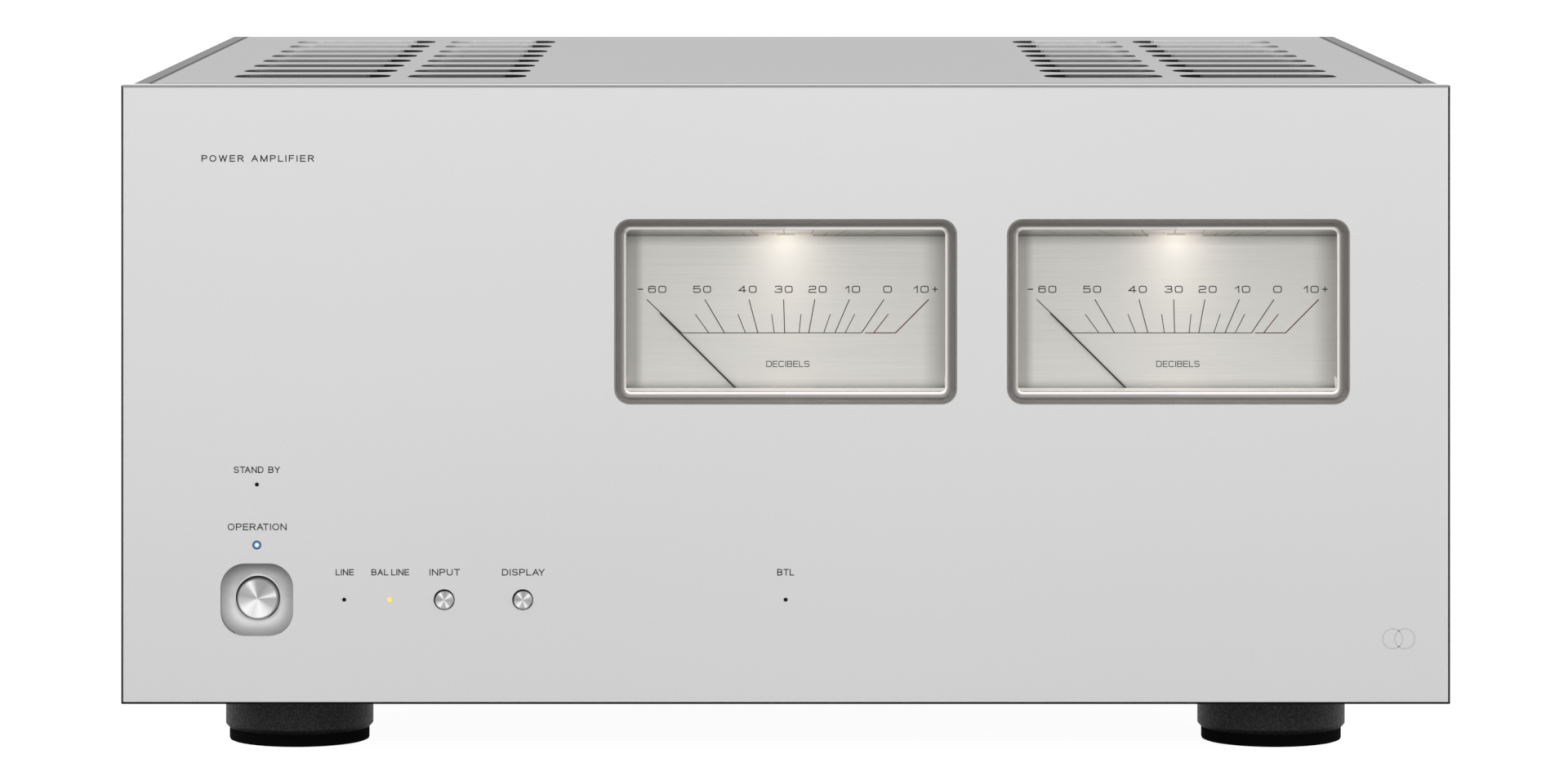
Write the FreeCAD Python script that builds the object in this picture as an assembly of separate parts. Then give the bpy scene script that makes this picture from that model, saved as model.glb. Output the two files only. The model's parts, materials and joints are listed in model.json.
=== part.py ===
import FreeCAD, Part
import math
import os

# Stereo power amplifier, a free-standing hi-fi component with two meters.
# +Z is up, the front faces -Y, and +X is to the right seen from the front.
# Origin: centre of the footprint, on the plane the feet stand on. Millimetres.

Vec = FreeCAD.Vector
X_AXIS, Y_AXIS, Z_AXIS = Vec(1, 0, 0), Vec(0, 1, 0), Vec(0, 0, 1)
FORWARD = Vec(0, -1, 0)
SIDES = (-1, 1)                    # left, right

# ---------------------------------------------------------------- driving dimensions
PANEL_W = 440.0                    # front panel width
TOTAL_H = 224.0                    # floor to top face
TOTAL_D = 488.0                    # button tip to terminal tip
TERMINAL_TIP = TOTAL_D / 2
BUTTON_PROUD = 1.0                 # small buttons in front of the panel
PANEL_FRONT = -TOTAL_D / 2 + BUTTON_PROUD
PANEL_T = 12.0
PANEL_BACK = PANEL_FRONT + PANEL_T
PANEL_Z = 19.2                     # lower edge of the front panel
REAR_Y = 210.0                     # outer face of the rear panel
TAIL_Y = 212.0                     # back edge of cover and side panels
BODY_X = 217.5                     # half width over the side panels
SIDE_T = 6.0
COVER_X = 211.2                    # half width of cover, base and rear panel
COVER_T = 3.0
COVER_UNDER = TOTAL_H - COVER_T
BASE_Z = 22.0                      # underside of the base plate
BASE_T = 3.0
BASE_TOP = BASE_Z + BASE_T
SHEET = 2.0                        # rear panel and sub-chassis sheet
SUB_BACK = PANEL_BACK + SHEET
REAR_INNER = REAR_Y - SHEET
PCB_T = 1.6                        # circuit board thickness

METERS = (("left", 0.0), ("right", 130.0))   # label, centre x
METER_Z = 149.0
BEZEL_W, BEZEL_H, BEZEL_R = 113.2, 61.0, 5.1
APERTURE_W, APERTURE_H, APERTURE_R = 105.7, 53.7, 1.8

POWER_X, POWER_Z = -175.0, 53.8
SMALL_BUTTONS = (("input_button", -113.0), ("display_button", -87.0))
SMALL_Z = 53.8
SMALL_LEDS = ((-175.0, 91.9), (-146.1, 53.8), (-131.1, 53.8), (0.0, 53.8))   # x, z
SMALL_LED_R = 0.85
MAIN_LED = (-175.0, 71.9)
MAIN_LED_R = 1.30
CONTROL_Y = -220.0                 # front face of the control board

FEET_Y = (-182.6, 151.6)
FEET = [(x, y) for x in (-164.8, 164.8) for y in FEET_Y]

POSTS = (("left_negative", -158.0), ("left_positive", -118.0),
         ("right_positive", 118.0), ("right_negative", 158.0))
POST_Z = 82.0
RCA_X, RCA_Z = 27.0, 182.0
XLR_X, XLR_Z = 32.0, 134.0
XLR_SCREWS = ((-9.5, 12.0), (9.5, -12.0))    # x, z from the jack centre
INLET_X, INLET_Z = 0.0, 60.0
INLET_SCREW_X = 20.0               # from the inlet centre
MODE_X, MODE_Z = 0.0, 182.0
MODE_SCREW_X = 9.5                 # from the switch centre

# Screw places
PANEL_BOLTS = ([(x, 36.0) for x in (-200.0, -60.0, 60.0, 200.0)]
               + [(x, 205.0) for x in (-200.0, -66.0, 66.0, 200.0)])
SIDE_SCREW_Y = (-190.0, -60.0, 70.0, 190.0)
BASE_SCREW_Z, COVER_SCREW_Z = 34.0, 213.0    # side screws into base and cover flanges
COVER_SCREW_X = (-190.0, -95.0, 0.0, 95.0, 190.0)
COVER_REAR_Z = 215.5               # cover screws through the rear panel
REAR_SCREW_X = (-198.0, -80.0, 80.0, 198.0)
REAR_SCREW_Z = 33.0

TRANSFORMER_Y = -105.0
BRACKET_TOP = BASE_TOP + 3.0
TRANSFORMER_BOLTS = [(i * 84.0, TRANSFORMER_Y + j * 42.0) for i in SIDES for j in SIDES]

os.makedirs("parts", exist_ok=True)


# ---------------------------------------------------------------- helpers
def flatten(items):
    flat = []
    for item in items:
        flat += item if isinstance(item, (list, tuple)) else [item]
    return flat


def fuse(*shapes):
    first, *others = flatten(shapes)
    return first.multiFuse(others).removeSplitter()


def cut(body, *tools):
    flat = flatten(tools)
    return body.cut(flat if len(flat) > 1 else flat[0])


def save(name, *shapes):
    solids = [solid for shape in flatten(shapes) for solid in shape.Solids]
    Part.makeCompound(solids).exportStep("parts/%s.step" % name)


def span(side, inner, outer):
    """X limits, in rising order, of a run from inner to outer |x| on one side."""
    return sorted((side * inner, side * outer))


def box(x0, x1, y0, y1, z0, z1):
    return Part.makeBox(x1 - x0, y1 - y0, z1 - z0, Vec(x0, y0, z0))


def side_box(side, inner, outer, y0, y1, z0, z1):
    return box(*span(side, inner, outer), y0, y1, z0, z1)


def mid_box(x, half_w, y0, y1, z0, z1):
    """Box centred on x."""
    return box(x - half_w, x + half_w, y0, y1, z0, z1)


def y_box(x, z, half_w, half_h, y0, y1):
    """Box centred on x and z."""
    return mid_box(x, half_w, y0, y1, z - half_h, z + half_h)


def cylinder(radius, start, end):
    start, run = Vec(*start), Vec(*end) - Vec(*start)
    return Part.makeCylinder(radius, run.Length, start, run)


def x_cyl(radius, y, z, x0, x1):
    return cylinder(radius, (x0, y, z), (x1, y, z))


def y_cyl(radius, x, z, y0, y1):
    return cylinder(radius, (x, y0, z), (x, y1, z))


def z_cyl(radius, x, y, z0, z1):
    return cylinder(radius, (x, y, z0), (x, y, z1))


def rounded_wire(width, height, radius, x, z, y):
    """Rounded rectangle centred on (x, z) in a plane of constant y."""
    left, right = x - width / 2, x + width / 2
    low, top = z - height / 2, z + height / 2
    inset = radius * (1 - math.sqrt(0.5))    # corner to arc middle, along each axis
    outline = [
        (left + radius, low), (right - radius, low), (right - inset, low + inset),
        (right, low + radius), (right, top - radius), (right - inset, top - inset),
        (right - radius, top), (left + radius, top), (left + inset, top - inset),
        (left, top - radius), (left, low + radius), (left + inset, low + inset),
    ]
    points = [Vec(px, y, pz) for px, pz in outline]
    edges = []
    for i in range(0, 12, 3):
        edges.append(Part.makeLine(points[i], points[i + 1]))
        arc = Part.Arc(points[i + 1], points[i + 2], points[(i + 3) % 12])
        edges.append(arc.toShape())
    return Part.Wire(edges)


def y_rounded(width, height, radius, x, z, y0, y1):
    """Rounded rectangle prism along Y."""
    wire = rounded_wire(width, height, radius, x, z, y0)
    return Part.Face(wire).extrude(Vec(0, y1 - y0, 0))


def z_rounded(x0, x1, y0, y1, radius, z0, z1):
    """Rounded rectangle prism along Z."""
    prism = y_rounded(x1 - x0, y1 - y0, radius, 0, 0, 0, z1 - z0)
    prism.rotate(Vec(), X_AXIS, 90)
    prism.translate(Vec((x0 + x1) / 2, (y0 + y1) / 2, z0))
    return prism


def polygon(points):
    return Part.makePolygon(points + [points[0]])


def polygon_face(points):
    return Part.Face(polygon(points))


def flat_rect(x0, x1, y0, y1, z):
    return polygon_face([Vec(x0, y0, z), Vec(x1, y0, z), Vec(x1, y1, z), Vec(x0, y1, z)])


def outward(shape):
    """The shape as a solid of positive volume."""
    if shape.ShapeType != "Solid":
        shape = Part.Solid(shape.Shells[0])
    if shape.Volume < 0:
        shape.reverse()
    return shape


def revolve(profile, axis, place):
    """Turn (radius, position along the axis) points about an axis through place."""
    face = polygon_face([X_AXIS * radius + axis * along for radius, along in profile])
    solid = outward(face.revolve(Vec(), axis, 360))
    solid.translate(place)
    return solid


def hex_prism(across_flats, base, axis, length):
    radius = across_flats / math.sqrt(3)
    angles = [math.radians(60 * i) for i in range(6)]
    face = polygon_face([Vec(radius * math.cos(a), radius * math.sin(a), 0) for a in angles])
    prism = face.extrude(Vec(0, 0, length))
    prism.Placement = FreeCAD.Placement(Vec(*base), FreeCAD.Rotation(Z_AXIS, axis))
    return prism


def edges_where(shape, test):
    return [edge for edge in shape.Edges if test(edge.BoundBox)]


def edges_at_y(shape, y):
    """Edges lying wholly in the plane of this y."""
    return edges_where(shape, lambda b: abs(b.YMin - y) < 1e-6 and abs(b.YMax - y) < 1e-6)


def pan_screw(radius, length, seat, axis):
    """Pan-head cross-slot screw; axis points from the head's seat to the tip."""
    seat = Vec(*seat)
    head_r, head_h = radius * 1.9, radius * 1.2
    shank = Part.makeCylinder(radius, length, seat, axis)
    head = Part.makeCylinder(head_r, head_h, seat - axis * head_h, axis)
    crown = [e for e in head.Edges
             if abs(e.BoundBox.Center.sub(seat).dot(axis) + head_h) < 1e-6 and e.Length > 1]
    try:
        head = head.makeFillet(head_h * 0.45, crown)
    except Exception:
        pass    # guards the crown fillet: the head stays square if it fails
    screw = head.fuse(shank)
    slot_start = seat - axis * (head_h + 0.01)
    across = Z_AXIS if abs(axis.z) < 0.5 else X_AXIS
    other = axis.cross(across)
    half_l, half_w = head_r * 0.62, head_r * 0.12
    for along, beside in ((across, other), (other, across)):
        run, offset = along * half_l, beside * half_w
        slot = polygon_face([slot_start + run + offset, slot_start - run + offset,
                             slot_start - run - offset, slot_start + run - offset])
        screw = screw.cut(slot.extrude(axis * (head_h * 0.55)))
    return screw


# ---------------------------------------------------------------- front panel
RECESS_W, RECESS_R, RECESS_D = 24.06, 8.1, 5.7   # recess round the power button
BOWL_FLOOR_R, BOWL_RIM_R = 8.0, 16.5
POWER_HOLE_R = 7.37
SMALL_HOLE_R = 3.49
COUNTERBORE_Y = PANEL_BACK - 3.0


def power_recess():
    """Dished bowl trimmed to a rounded square."""
    wall = []
    for i in range(13):
        t = i / 12.0
        radius = BOWL_FLOOR_R + (BOWL_RIM_R - BOWL_FLOOR_R) * t
        wall.append(Vec(radius, PANEL_FRONT + RECESS_D * math.sqrt(1 - t ** 1.55), 0))
    curve = Part.BSplineCurve()
    curve.interpolate(wall)
    mouth, floor = Vec(0, PANEL_FRONT - 1, 0), Vec(0, PANEL_FRONT + RECESS_D, 0)
    mouth_rim = Vec(BOWL_RIM_R, PANEL_FRONT - 1, 0)
    outline = Part.Wire([
        Part.makeLine(mouth, floor),
        Part.makeLine(floor, wall[0]),
        curve.toShape(),
        Part.makeLine(wall[-1], mouth_rim),
        Part.makeLine(mouth_rim, mouth),
    ])
    bowl = outward(Part.Face(outline).revolve(Vec(), Y_AXIS, 360))
    bowl.translate(Vec(POWER_X, 0, POWER_Z))
    return bowl.common(y_rounded(RECESS_W, RECESS_W, RECESS_R, POWER_X, POWER_Z,
                                 PANEL_FRONT - 0.5, PANEL_BACK))


def front_panel():
    panel = mid_box(0, PANEL_W / 2, PANEL_FRONT, PANEL_BACK, PANEL_Z, TOTAL_H)
    panel = panel.makeChamfer(0.8, edges_at_y(panel, PANEL_FRONT))
    panel = panel.makeChamfer(0.3, edges_at_y(panel, PANEL_BACK))
    before, behind = PANEL_FRONT - 1, PANEL_BACK + 1
    tools = []
    for _, x in METERS:
        tools.append(y_rounded(BEZEL_W, BEZEL_H, BEZEL_R, x, METER_Z, before, behind))
        # small bevel round the opening
        tools.append(Part.makeLoft([
            rounded_wire(BEZEL_W + 0.5, BEZEL_H + 0.5, BEZEL_R + 0.25, x, METER_Z,
                         PANEL_FRONT - 0.001),
            rounded_wire(BEZEL_W, BEZEL_H, BEZEL_R, x, METER_Z, PANEL_FRONT + 0.25),
        ], True, True))
    tools.append(power_recess())
    tools.append(y_cyl(POWER_HOLE_R, POWER_X, POWER_Z, PANEL_FRONT, behind))
    for _, x in SMALL_BUTTONS:
        tools.append(y_cyl(SMALL_HOLE_R, x, SMALL_Z, before, behind))
        tools.append(y_cyl(5.0, x, SMALL_Z, COUNTERBORE_Y, behind))
    for x, z in SMALL_LEDS:
        tools.append(y_cyl(SMALL_LED_R, x, z, before, PANEL_BACK))
        tools.append(y_cyl(1.8, x, z, COUNTERBORE_Y, behind))
    tools.append(y_cyl(MAIN_LED_R + 0.15, *MAIN_LED, before, PANEL_BACK))
    tools.append(y_cyl(2.2, *MAIN_LED, COUNTERBORE_Y, behind))
    for x, z in PANEL_BOLTS:
        tools.append(y_cyl(2.05, x, z, PANEL_BACK - 7.5, behind))
    return cut(panel, tools)


save("front_panel", front_panel())


# ---------------------------------------------------------------- front sub-chassis
SUB_X = 208.8                      # half width
SUB_Z0, SUB_Z1 = 25.2, 220.6
SUB_FLANGE_Y = SUB_BACK + 14


def front_subchassis():
    """Folded sheet with a backward flange on each edge."""
    sheet = mid_box(0, SUB_X, PANEL_BACK, SUB_BACK, SUB_Z0, SUB_Z1)
    flanges = [side_box(side, SUB_X - SHEET, SUB_X, PANEL_BACK, SUB_FLANGE_Y, 42.0, 206.0)
               for side in SIDES]
    flanges += [mid_box(0, 200.0, PANEL_BACK, SUB_FLANGE_Y, z, z + SHEET)
                for z in (SUB_Z1 - SHEET, SUB_Z0)]
    through = (PANEL_BACK - 1, SUB_BACK + 1)
    tools = [mid_box(x, 58.5, *through, 89.5, 180.0) for _, x in METERS]
    tools.append(y_cyl(10.0, POWER_X, POWER_Z, *through))
    tools += [y_cyl(5.0, x, SMALL_Z, *through) for _, x in SMALL_BUTTONS]
    tools += [y_cyl(2.5, x, z, *through) for x, z in SMALL_LEDS + (MAIN_LED,)]
    tools += [y_cyl(2.2, x, z, *through) for x, z in PANEL_BOLTS]
    return cut(fuse(sheet, flanges), tools)


save("front_subchassis", front_subchassis())


# ---------------------------------------------------------------- base plate
def flange_holes(z):
    """Holes for the side screws through the left and right flanges."""
    return [x_cyl(1.6, y, z, side * (COVER_X - 3), side * (COVER_X + 1))
            for side in SIDES for y in SIDE_SCREW_Y]


def base_plate():
    plate = mid_box(0, COVER_X, PANEL_BACK + 0.3, REAR_INNER, BASE_Z, BASE_TOP)
    plate = fuse(
        plate,
        [side_box(side, COVER_X - SHEET, COVER_X, PANEL_BACK + 16, 204.0, BASE_Z, 40.0)
         for side in SIDES],
        mid_box(0, 205.0, REAR_INNER - SHEET, REAR_INNER, BASE_Z, 40.0))
    through = (BASE_Z - 1, BASE_TOP + 1)
    tools = [z_cyl(4.2, x, y, *through) for x, y in FEET]
    tools += [z_cyl(3.1, x, y, *through) for x, y in TRANSFORMER_BOLTS]
    # air intake slots under the heatsinks, left out near the feet
    for side in SIDES:
        for i in range(13):
            y = -120.0 + i * 19.5
            if any(abs(y - foot_y) < 32 for foot_y in FEET_Y):
                continue
            tools.append(z_rounded(*span(side, 142.0, 194.0), y - 3, y + 3, 2.9, *through))
    tools += flange_holes(BASE_SCREW_Z)
    tools += [y_cyl(1.6, x, REAR_SCREW_Z, 205.0, 209.0) for x in REAR_SCREW_X]
    return cut(plate, tools)


save("base_plate", base_plate())


# ---------------------------------------------------------------- side panels
def side_panel():
    """Right-hand panel, with its long outer edges rounded."""
    panel = box(BODY_X - SIDE_T, BODY_X, PANEL_BACK + 0.2, TAIL_Y, 20.6, TOTAL_H)
    panel = panel.makeFillet(0.8, edges_where(
        panel, lambda b: abs(b.XMin - BODY_X) < 1e-6 and abs(b.XMax - BODY_X) < 1e-6
        and b.YLength > 100))
    return cut(panel, [x_cyl(1.55, y, z, COVER_X, COVER_X + 4.5)
                       for y in SIDE_SCREW_Y for z in (BASE_SCREW_Z, COVER_SCREW_Z)])


right_panel = side_panel()
save("side_panel_right", right_panel)
save("side_panel_left", right_panel.mirror(Vec(), X_AXIS))

# ---------------------------------------------------------------- top cover and vent mesh
VENT_COLUMNS = ((135.0, 188.0), (88.6, 128.8))   # |x| limits: outer, inner column
VENT_ROWS = [(-182.0, -151.0), (-136.2, -107.5), (-91.2, -61.5), (-46.7, -16.2),
             (-0.8, 30.7), (44.3, 75.3), (93.6, 125.8), (138.6, 171.5)]   # y limits
VENT_R = 9.0
MESH_T = 0.8
MESH_BAR = 2.2                     # bar between neighbouring slots in a row
MESH_SLOT_W = 3.2
MESH_SLOT_ROWS, MESH_SLOTS = 6, 3  # slot rows per window, slots per row


def top_cover():
    cover = mid_box(0, COVER_X, PANEL_BACK + 0.6, TAIL_Y, COVER_UNDER, TOTAL_H)
    cover = cover.makeChamfer(1.6, edges_where(
        cover, lambda b: b.ZLength > 2 and b.XLength < 1e-6 and b.YLength < 1e-6))
    cover = fuse(
        cover,
        [side_box(side, COVER_X - SHEET, COVER_X, PANEL_BACK + 16, 205.0, 206.0, COVER_UNDER)
         for side in SIDES],
        mid_box(0, 205.0, REAR_Y, TAIL_Y, 211.0, COVER_UNDER))
    tools = [z_rounded(*span(side, *column), *row, VENT_R, COVER_UNDER - 1, TOTAL_H + 1)
             for side in SIDES for column in VENT_COLUMNS for row in VENT_ROWS]
    tools += [y_cyl(1.6, x, COVER_REAR_Z, REAR_Y - 1, TAIL_Y + 1) for x in COVER_SCREW_X]
    tools += flange_holes(COVER_SCREW_Z)
    cover = cut(cover, tools)
    window_rims = edges_where(
        cover, lambda b: abs(b.ZMin - TOTAL_H) < 1e-6 and abs(b.ZMax - TOTAL_H) < 1e-6
        and b.XLength < 60 and b.YLength < 60
        and abs(b.Center.x) < 190 and -184 < b.Center.y < 173)
    try:
        return cover.makeFillet(0.35, window_rims)
    except Exception:
        return cover    # guards the window fillet: the rims stay sharp if it fails


def vent_mesh(side):
    """Slotted sheet against the underside of the cover."""
    z = COVER_UNDER - MESH_T
    slots = []
    for y0, y1 in VENT_ROWS:
        for i in range(MESH_SLOT_ROWS):
            y = y0 + (y1 - y0) * (i + 0.5) / MESH_SLOT_ROWS
            for column in VENT_COLUMNS:
                left, right = span(side, *column)
                pitch = (right - left) / MESH_SLOTS
                for j in range(MESH_SLOTS):
                    slots.append(flat_rect(left + j * pitch + MESH_BAR / 2,
                                           left + (j + 1) * pitch - MESH_BAR / 2,
                                           y - MESH_SLOT_W / 2, y + MESH_SLOT_W / 2, z))
    sheet = flat_rect(*span(side, 84.0, 193.0), -188, 177, z)
    return sheet.cut(slots).extrude(Vec(0, 0, MESH_T))


save("top_cover", top_cover())
save("vent_mesh", [vent_mesh(side) for side in SIDES])


# ---------------------------------------------------------------- rear panel
def rear_panel():
    panel = mid_box(0, COVER_X, REAR_INNER, REAR_Y, 25.2, 220.8)
    panel = fuse(panel, mid_box(0, 200.0, REAR_Y - 14, REAR_INNER, 218.8, 220.8))
    through = (REAR_Y - 4, REAR_Y + 1)
    tools = [y_cyl(7.2, x, POST_Z, *through) for _, x in POSTS]
    for side in SIDES:
        tools.append(y_cyl(5.2, side * RCA_X, RCA_Z, *through))
        tools.append(y_cyl(12.1, side * XLR_X, XLR_Z, *through))
        for dx, dz in XLR_SCREWS:
            tools.append(y_cyl(1.5, side * XLR_X + dx, XLR_Z + dz, *through))
    tools.append(y_box(INLET_X, INLET_Z, 14.2, 10.4, *through))
    tools += [y_cyl(1.6, INLET_X + side * INLET_SCREW_X, INLET_Z, *through) for side in SIDES]
    tools.append(y_box(MODE_X, MODE_Z, 6.0, 2.6, *through))
    tools += [y_cyl(1.3, MODE_X + side * MODE_SCREW_X, MODE_Z, *through) for side in SIDES]
    tools += [y_cyl(1.55, x, COVER_REAR_Z, *through) for x in COVER_SCREW_X]
    tools += [y_cyl(1.6, x, REAR_SCREW_Z, *through) for x in REAR_SCREW_X]
    # exhaust louvres
    for side in SIDES:
        for i in range(7):
            tools.append(y_rounded(80.0, 3.2, 1.55, side * 150.0, 128.0 + i * 9.5, *through))
    return cut(panel, tools)


save("rear_panel", rear_panel())

# ---------------------------------------------------------------- partition walls
WALL_IN, WALL_OUT = 94.2, 95.7     # |x| of the wall faces
WALL_Y = (-184.0, 196.0)


def partition_wall(side):
    """Wall beside the transformer bay, with an outward foot flange."""
    wall = fuse(side_box(side, WALL_IN, WALL_OUT, *WALL_Y, BASE_TOP, 198.0),
                side_box(side, WALL_OUT, 105.0, *WALL_Y, BASE_TOP, 26.5))
    openings = [(y - 18, y + 18, 180.0, 190.0)
                for y in (-150.0, -90.0, -30.0, 30.0, 90.0, 150.0)]
    openings += [(100.0, 130.0, 40.0, 60.0), (-184.5, -158.0, 26.6, 49.0),
                 (168.0, 188.0, 70.0, 92.0)]
    return cut(wall, [side_box(side, WALL_IN - 1, WALL_OUT + 1, *opening)
                      for opening in openings])


save("partition_walls", [partition_wall(side) for side in SIDES])

# ---------------------------------------------------------------- feet
FOOT_R, PAD_R, PAD_T = 25.0, 23.7, 4.0
BOLT_SEAT = 11.0
# radius, z
HOUSING = [(4.2, BASE_Z), (4.2, BOLT_SEAT), (8.5, BOLT_SEAT), (8.5, PAD_T),
           (PAD_R - 0.3, PAD_T), (PAD_R + 0.2, PAD_T + 0.4), (FOOT_R - 0.35, PAD_T + 1.15),
           (FOOT_R, PAD_T + 1.7), (FOOT_R, 20.6), (FOOT_R - 1.0, 21.6), (FOOT_R - 2.0, BASE_Z)]
PAD = [(9.0, 0.0), (PAD_R - 0.8, 0.0), (PAD_R - 0.2, 0.25), (PAD_R, 0.8), (PAD_R, PAD_T),
       (9.0, PAD_T)]


def foot_bolt(x, y):
    """Hex-socket bolt and the nut on the base plate."""
    head = cut(z_cyl(6.5, x, y, 4.8, BOLT_SEAT), hex_prism(6.0, (x, y, 4.7), Z_AXIS, 3.6))
    bolt = fuse(head, z_cyl(4.0, x, y, BOLT_SEAT, 33.0))
    nut = cut(hex_prism(13.0, (x, y, BASE_TOP), Z_AXIS, 6.0), z_cyl(4.02, x, y, 20.0, 40.0))
    return [bolt, nut]


save("foot_housings", [revolve(HOUSING, Z_AXIS, Vec(x, y, 0)) for x, y in FEET])
save("foot_pads", [revolve(PAD, Z_AXIS, Vec(x, y, 0)) for x, y in FEET])


# ---------------------------------------------------------------- chassis screws
def chassis_screws():
    screws = flatten(foot_bolt(x, y) for x, y in FEET)
    screws += [pan_screw(2.0, 8.5, (x, SUB_BACK, z), FORWARD) for x, z in PANEL_BOLTS]
    screws += [pan_screw(1.5, 8.0, (x, TAIL_Y, COVER_REAR_Z), FORWARD) for x in COVER_SCREW_X]
    screws += [pan_screw(1.5, 8.0, (x, REAR_Y, REAR_SCREW_Z), FORWARD) for x in REAR_SCREW_X]
    screws += [pan_screw(1.5, 6.0, (side * (COVER_X - SHEET), y, z), X_AXIS * side)
               for side in SIDES for y in SIDE_SCREW_Y for z in (BASE_SCREW_Z, COVER_SCREW_Z)]
    screws += [pan_screw(3.0, 8.0, (x, y, BRACKET_TOP), -Z_AXIS) for x, y in TRANSFORMER_BOLTS]
    for side in SIDES:
        seat = (INLET_X + side * INLET_SCREW_X, REAR_Y + 2.0, INLET_Z)
        screws.append(pan_screw(1.5, 7.0, seat, FORWARD))
        for dx, dz in XLR_SCREWS:
            seat = (side * XLR_X + dx, REAR_Y + 2.0, XLR_Z + dz)
            screws.append(pan_screw(1.4, 7.0, seat, FORWARD))
        seat = (MODE_X + side * MODE_SCREW_X, REAR_Y, MODE_Z)
        screws.append(pan_screw(1.2, 5.0, seat, FORWARD))
    return screws


save("chassis_screws", chassis_screws())

# ---------------------------------------------------------------- meters
BEZEL_FRONT = PANEL_FRONT + 0.15
BEZEL_LIP = 0.35
COVE_BACK = PANEL_FRONT + 5.0      # back of the bezel's cove
COVE_STEPS = 7
WINDOW_FRONT = PANEL_FRONT + 5.9
WINDOW_BACK = PANEL_FRONT + 8.4
PIVOT_Z = 106.0                    # needle pivot height
NEEDLE_L = 59.0                    # pivot to tip
NEEDLE_REST = 45.2                 # degrees left of vertical at rest
NEEDLE_Y = -228.0                  # mid plane of the needle
DIAL_Y = -226.0                    # front face of the dial
CAVITY_FRONT = -226.2


def bezel(x):
    """Frame whose inside narrows in a quarter-round cove to the aperture."""
    frame = y_rounded(BEZEL_W - 0.2, BEZEL_H - 0.2, BEZEL_R - 0.1, x, METER_Z,
                      BEZEL_FRONT, PANEL_BACK)
    mouth = (BEZEL_W - 2 * BEZEL_LIP, BEZEL_H - 2 * BEZEL_LIP, BEZEL_R - BEZEL_LIP)
    aperture = (APERTURE_W, APERTURE_H, APERTURE_R)
    wires = []
    for i in range(COVE_STEPS + 1):
        angle = (math.pi / 2) * i / COVE_STEPS
        blend = 1 - math.cos(angle)
        sizes = [start + (end - start) * blend for start, end in zip(mouth, aperture)]
        y = BEZEL_FRONT + (COVE_BACK - BEZEL_FRONT) * math.sin(angle)
        wires.append(rounded_wire(*sizes, x, METER_Z, y))
    # the second tool clears the skin left at the mouth of the loft
    frame = cut(frame, Part.makeLoft(wires, True, False),
                y_rounded(*mouth, x, METER_Z, PANEL_FRONT - 1, BEZEL_FRONT + 1e-7))
    frame = cut(frame, y_rounded(*aperture, x, METER_Z, COVE_BACK - 0.01, PANEL_FRONT + 7))
    return cut(frame, y_rounded(109.2, 57.2, 3.0, x, METER_Z, WINDOW_FRONT, PANEL_BACK + 1))


def window(x):
    return y_rounded(108.8, 56.8, 2.8, x, METER_Z, WINDOW_FRONT, WINDOW_BACK)


def dial(x):
    plate = mid_box(x, 55.2, DIAL_Y, DIAL_Y + 1.0, 93.0, 176.2)
    through = (DIAL_Y - 1, DIAL_Y + 2)
    return cut(plate, y_cyl(9.0, x, PIVOT_Z, *through), mid_box(x, 9, *through, 92.0, PIVOT_Z))


def funnel_wire(x, y, low, top):
    return polygon([Vec(x - 53.0, y, low), Vec(x + 53.0, y, low),
                    Vec(x + 53.0, y, top), Vec(x - 53.0, y, top)])


def case(x):
    nose = y_rounded(108.6, 56.6, 2.6, x, METER_Z, PANEL_FRONT + 8.5, PANEL_BACK + 0.5)
    body = mid_box(x, 57.0, PANEL_BACK, -193.0, 91.0, 178.0)
    body = body.makeFillet(2.0, edges_where(body, lambda b: b.YLength > 20))
    # view funnel: sloping ceiling, nearly level floor
    funnel = Part.makeLoft([funnel_wire(x, WINDOW_BACK, 122.1, 175.9),
                            funnel_wire(x, CAVITY_FRONT, 123.1, 173.0)], True, True)
    cavity = mid_box(x, 55.5, CAVITY_FRONT, -194.6, 92.5, 176.5)
    needle_room = mid_box(x, 55.5, -229.3, CAVITY_FRONT, 92.5, 123.2)
    lamp_room = mid_box(x, 9.0, -229.4, -226.1, 172.0, 176.5)
    shell = cut(fuse(nose, body), funnel, cavity, needle_room, lamp_room)
    return cut(shell, [y_cyl(3.0, x + side * 40, 100.0, -195.5, -192.0) for side in SIDES])


def movement(x):
    body = fuse(y_cyl(13.0, x, PIVOT_Z, -224.6, -200.0),
                mid_box(x, 12.0, -222.0, -202.0, PIVOT_Z, PIVOT_Z + 20.0),
                mid_box(x, 22.0, -200.0, -194.8, 93.0, 132.0))
    return cut(body, y_cyl(0.95, x, PIVOT_Z, -226.0, -210.0),
               y_cyl(8.0, x, PIVOT_Z, -226.0, -222.0))


def needle(x):
    """Pointer, built upright about the pivot and then turned to rest."""
    front, back = NEEDLE_Y - 0.2, NEEDLE_Y + 0.2
    blade = polygon_face([Vec(-0.34, front, 0), Vec(0.34, front, 0), Vec(0.26, front, NEEDLE_L),
                          Vec(-0.26, front, NEEDLE_L)]).extrude(Vec(0, 0.4, 0))
    tail = mid_box(0, 0.6, front, back, -9.0, 0.0)
    weight = y_cyl(1.5, 0, -8.5, NEEDLE_Y - 0.45, NEEDLE_Y + 0.45)
    hub = y_cyl(3.2, 0, 0, NEEDLE_Y - 0.6, NEEDLE_Y + 0.9)
    shaft = y_cyl(0.90, 0, 0, NEEDLE_Y, -212.0)
    coil = cut(y_cyl(6.5, 0, 0, -224.4, -222.4), y_cyl(5.5, 0, 0, -225, -222))
    arm = y_box(0, 0, 6.0, 0.5, -223.8, -223.0)
    pointer = fuse(blade, tail, weight, hub, shaft, arm, coil)
    pointer.rotate(Vec(), Y_AXIS, -NEEDLE_REST)
    pointer.translate(Vec(x, 0, PIVOT_Z))
    return pointer


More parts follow.
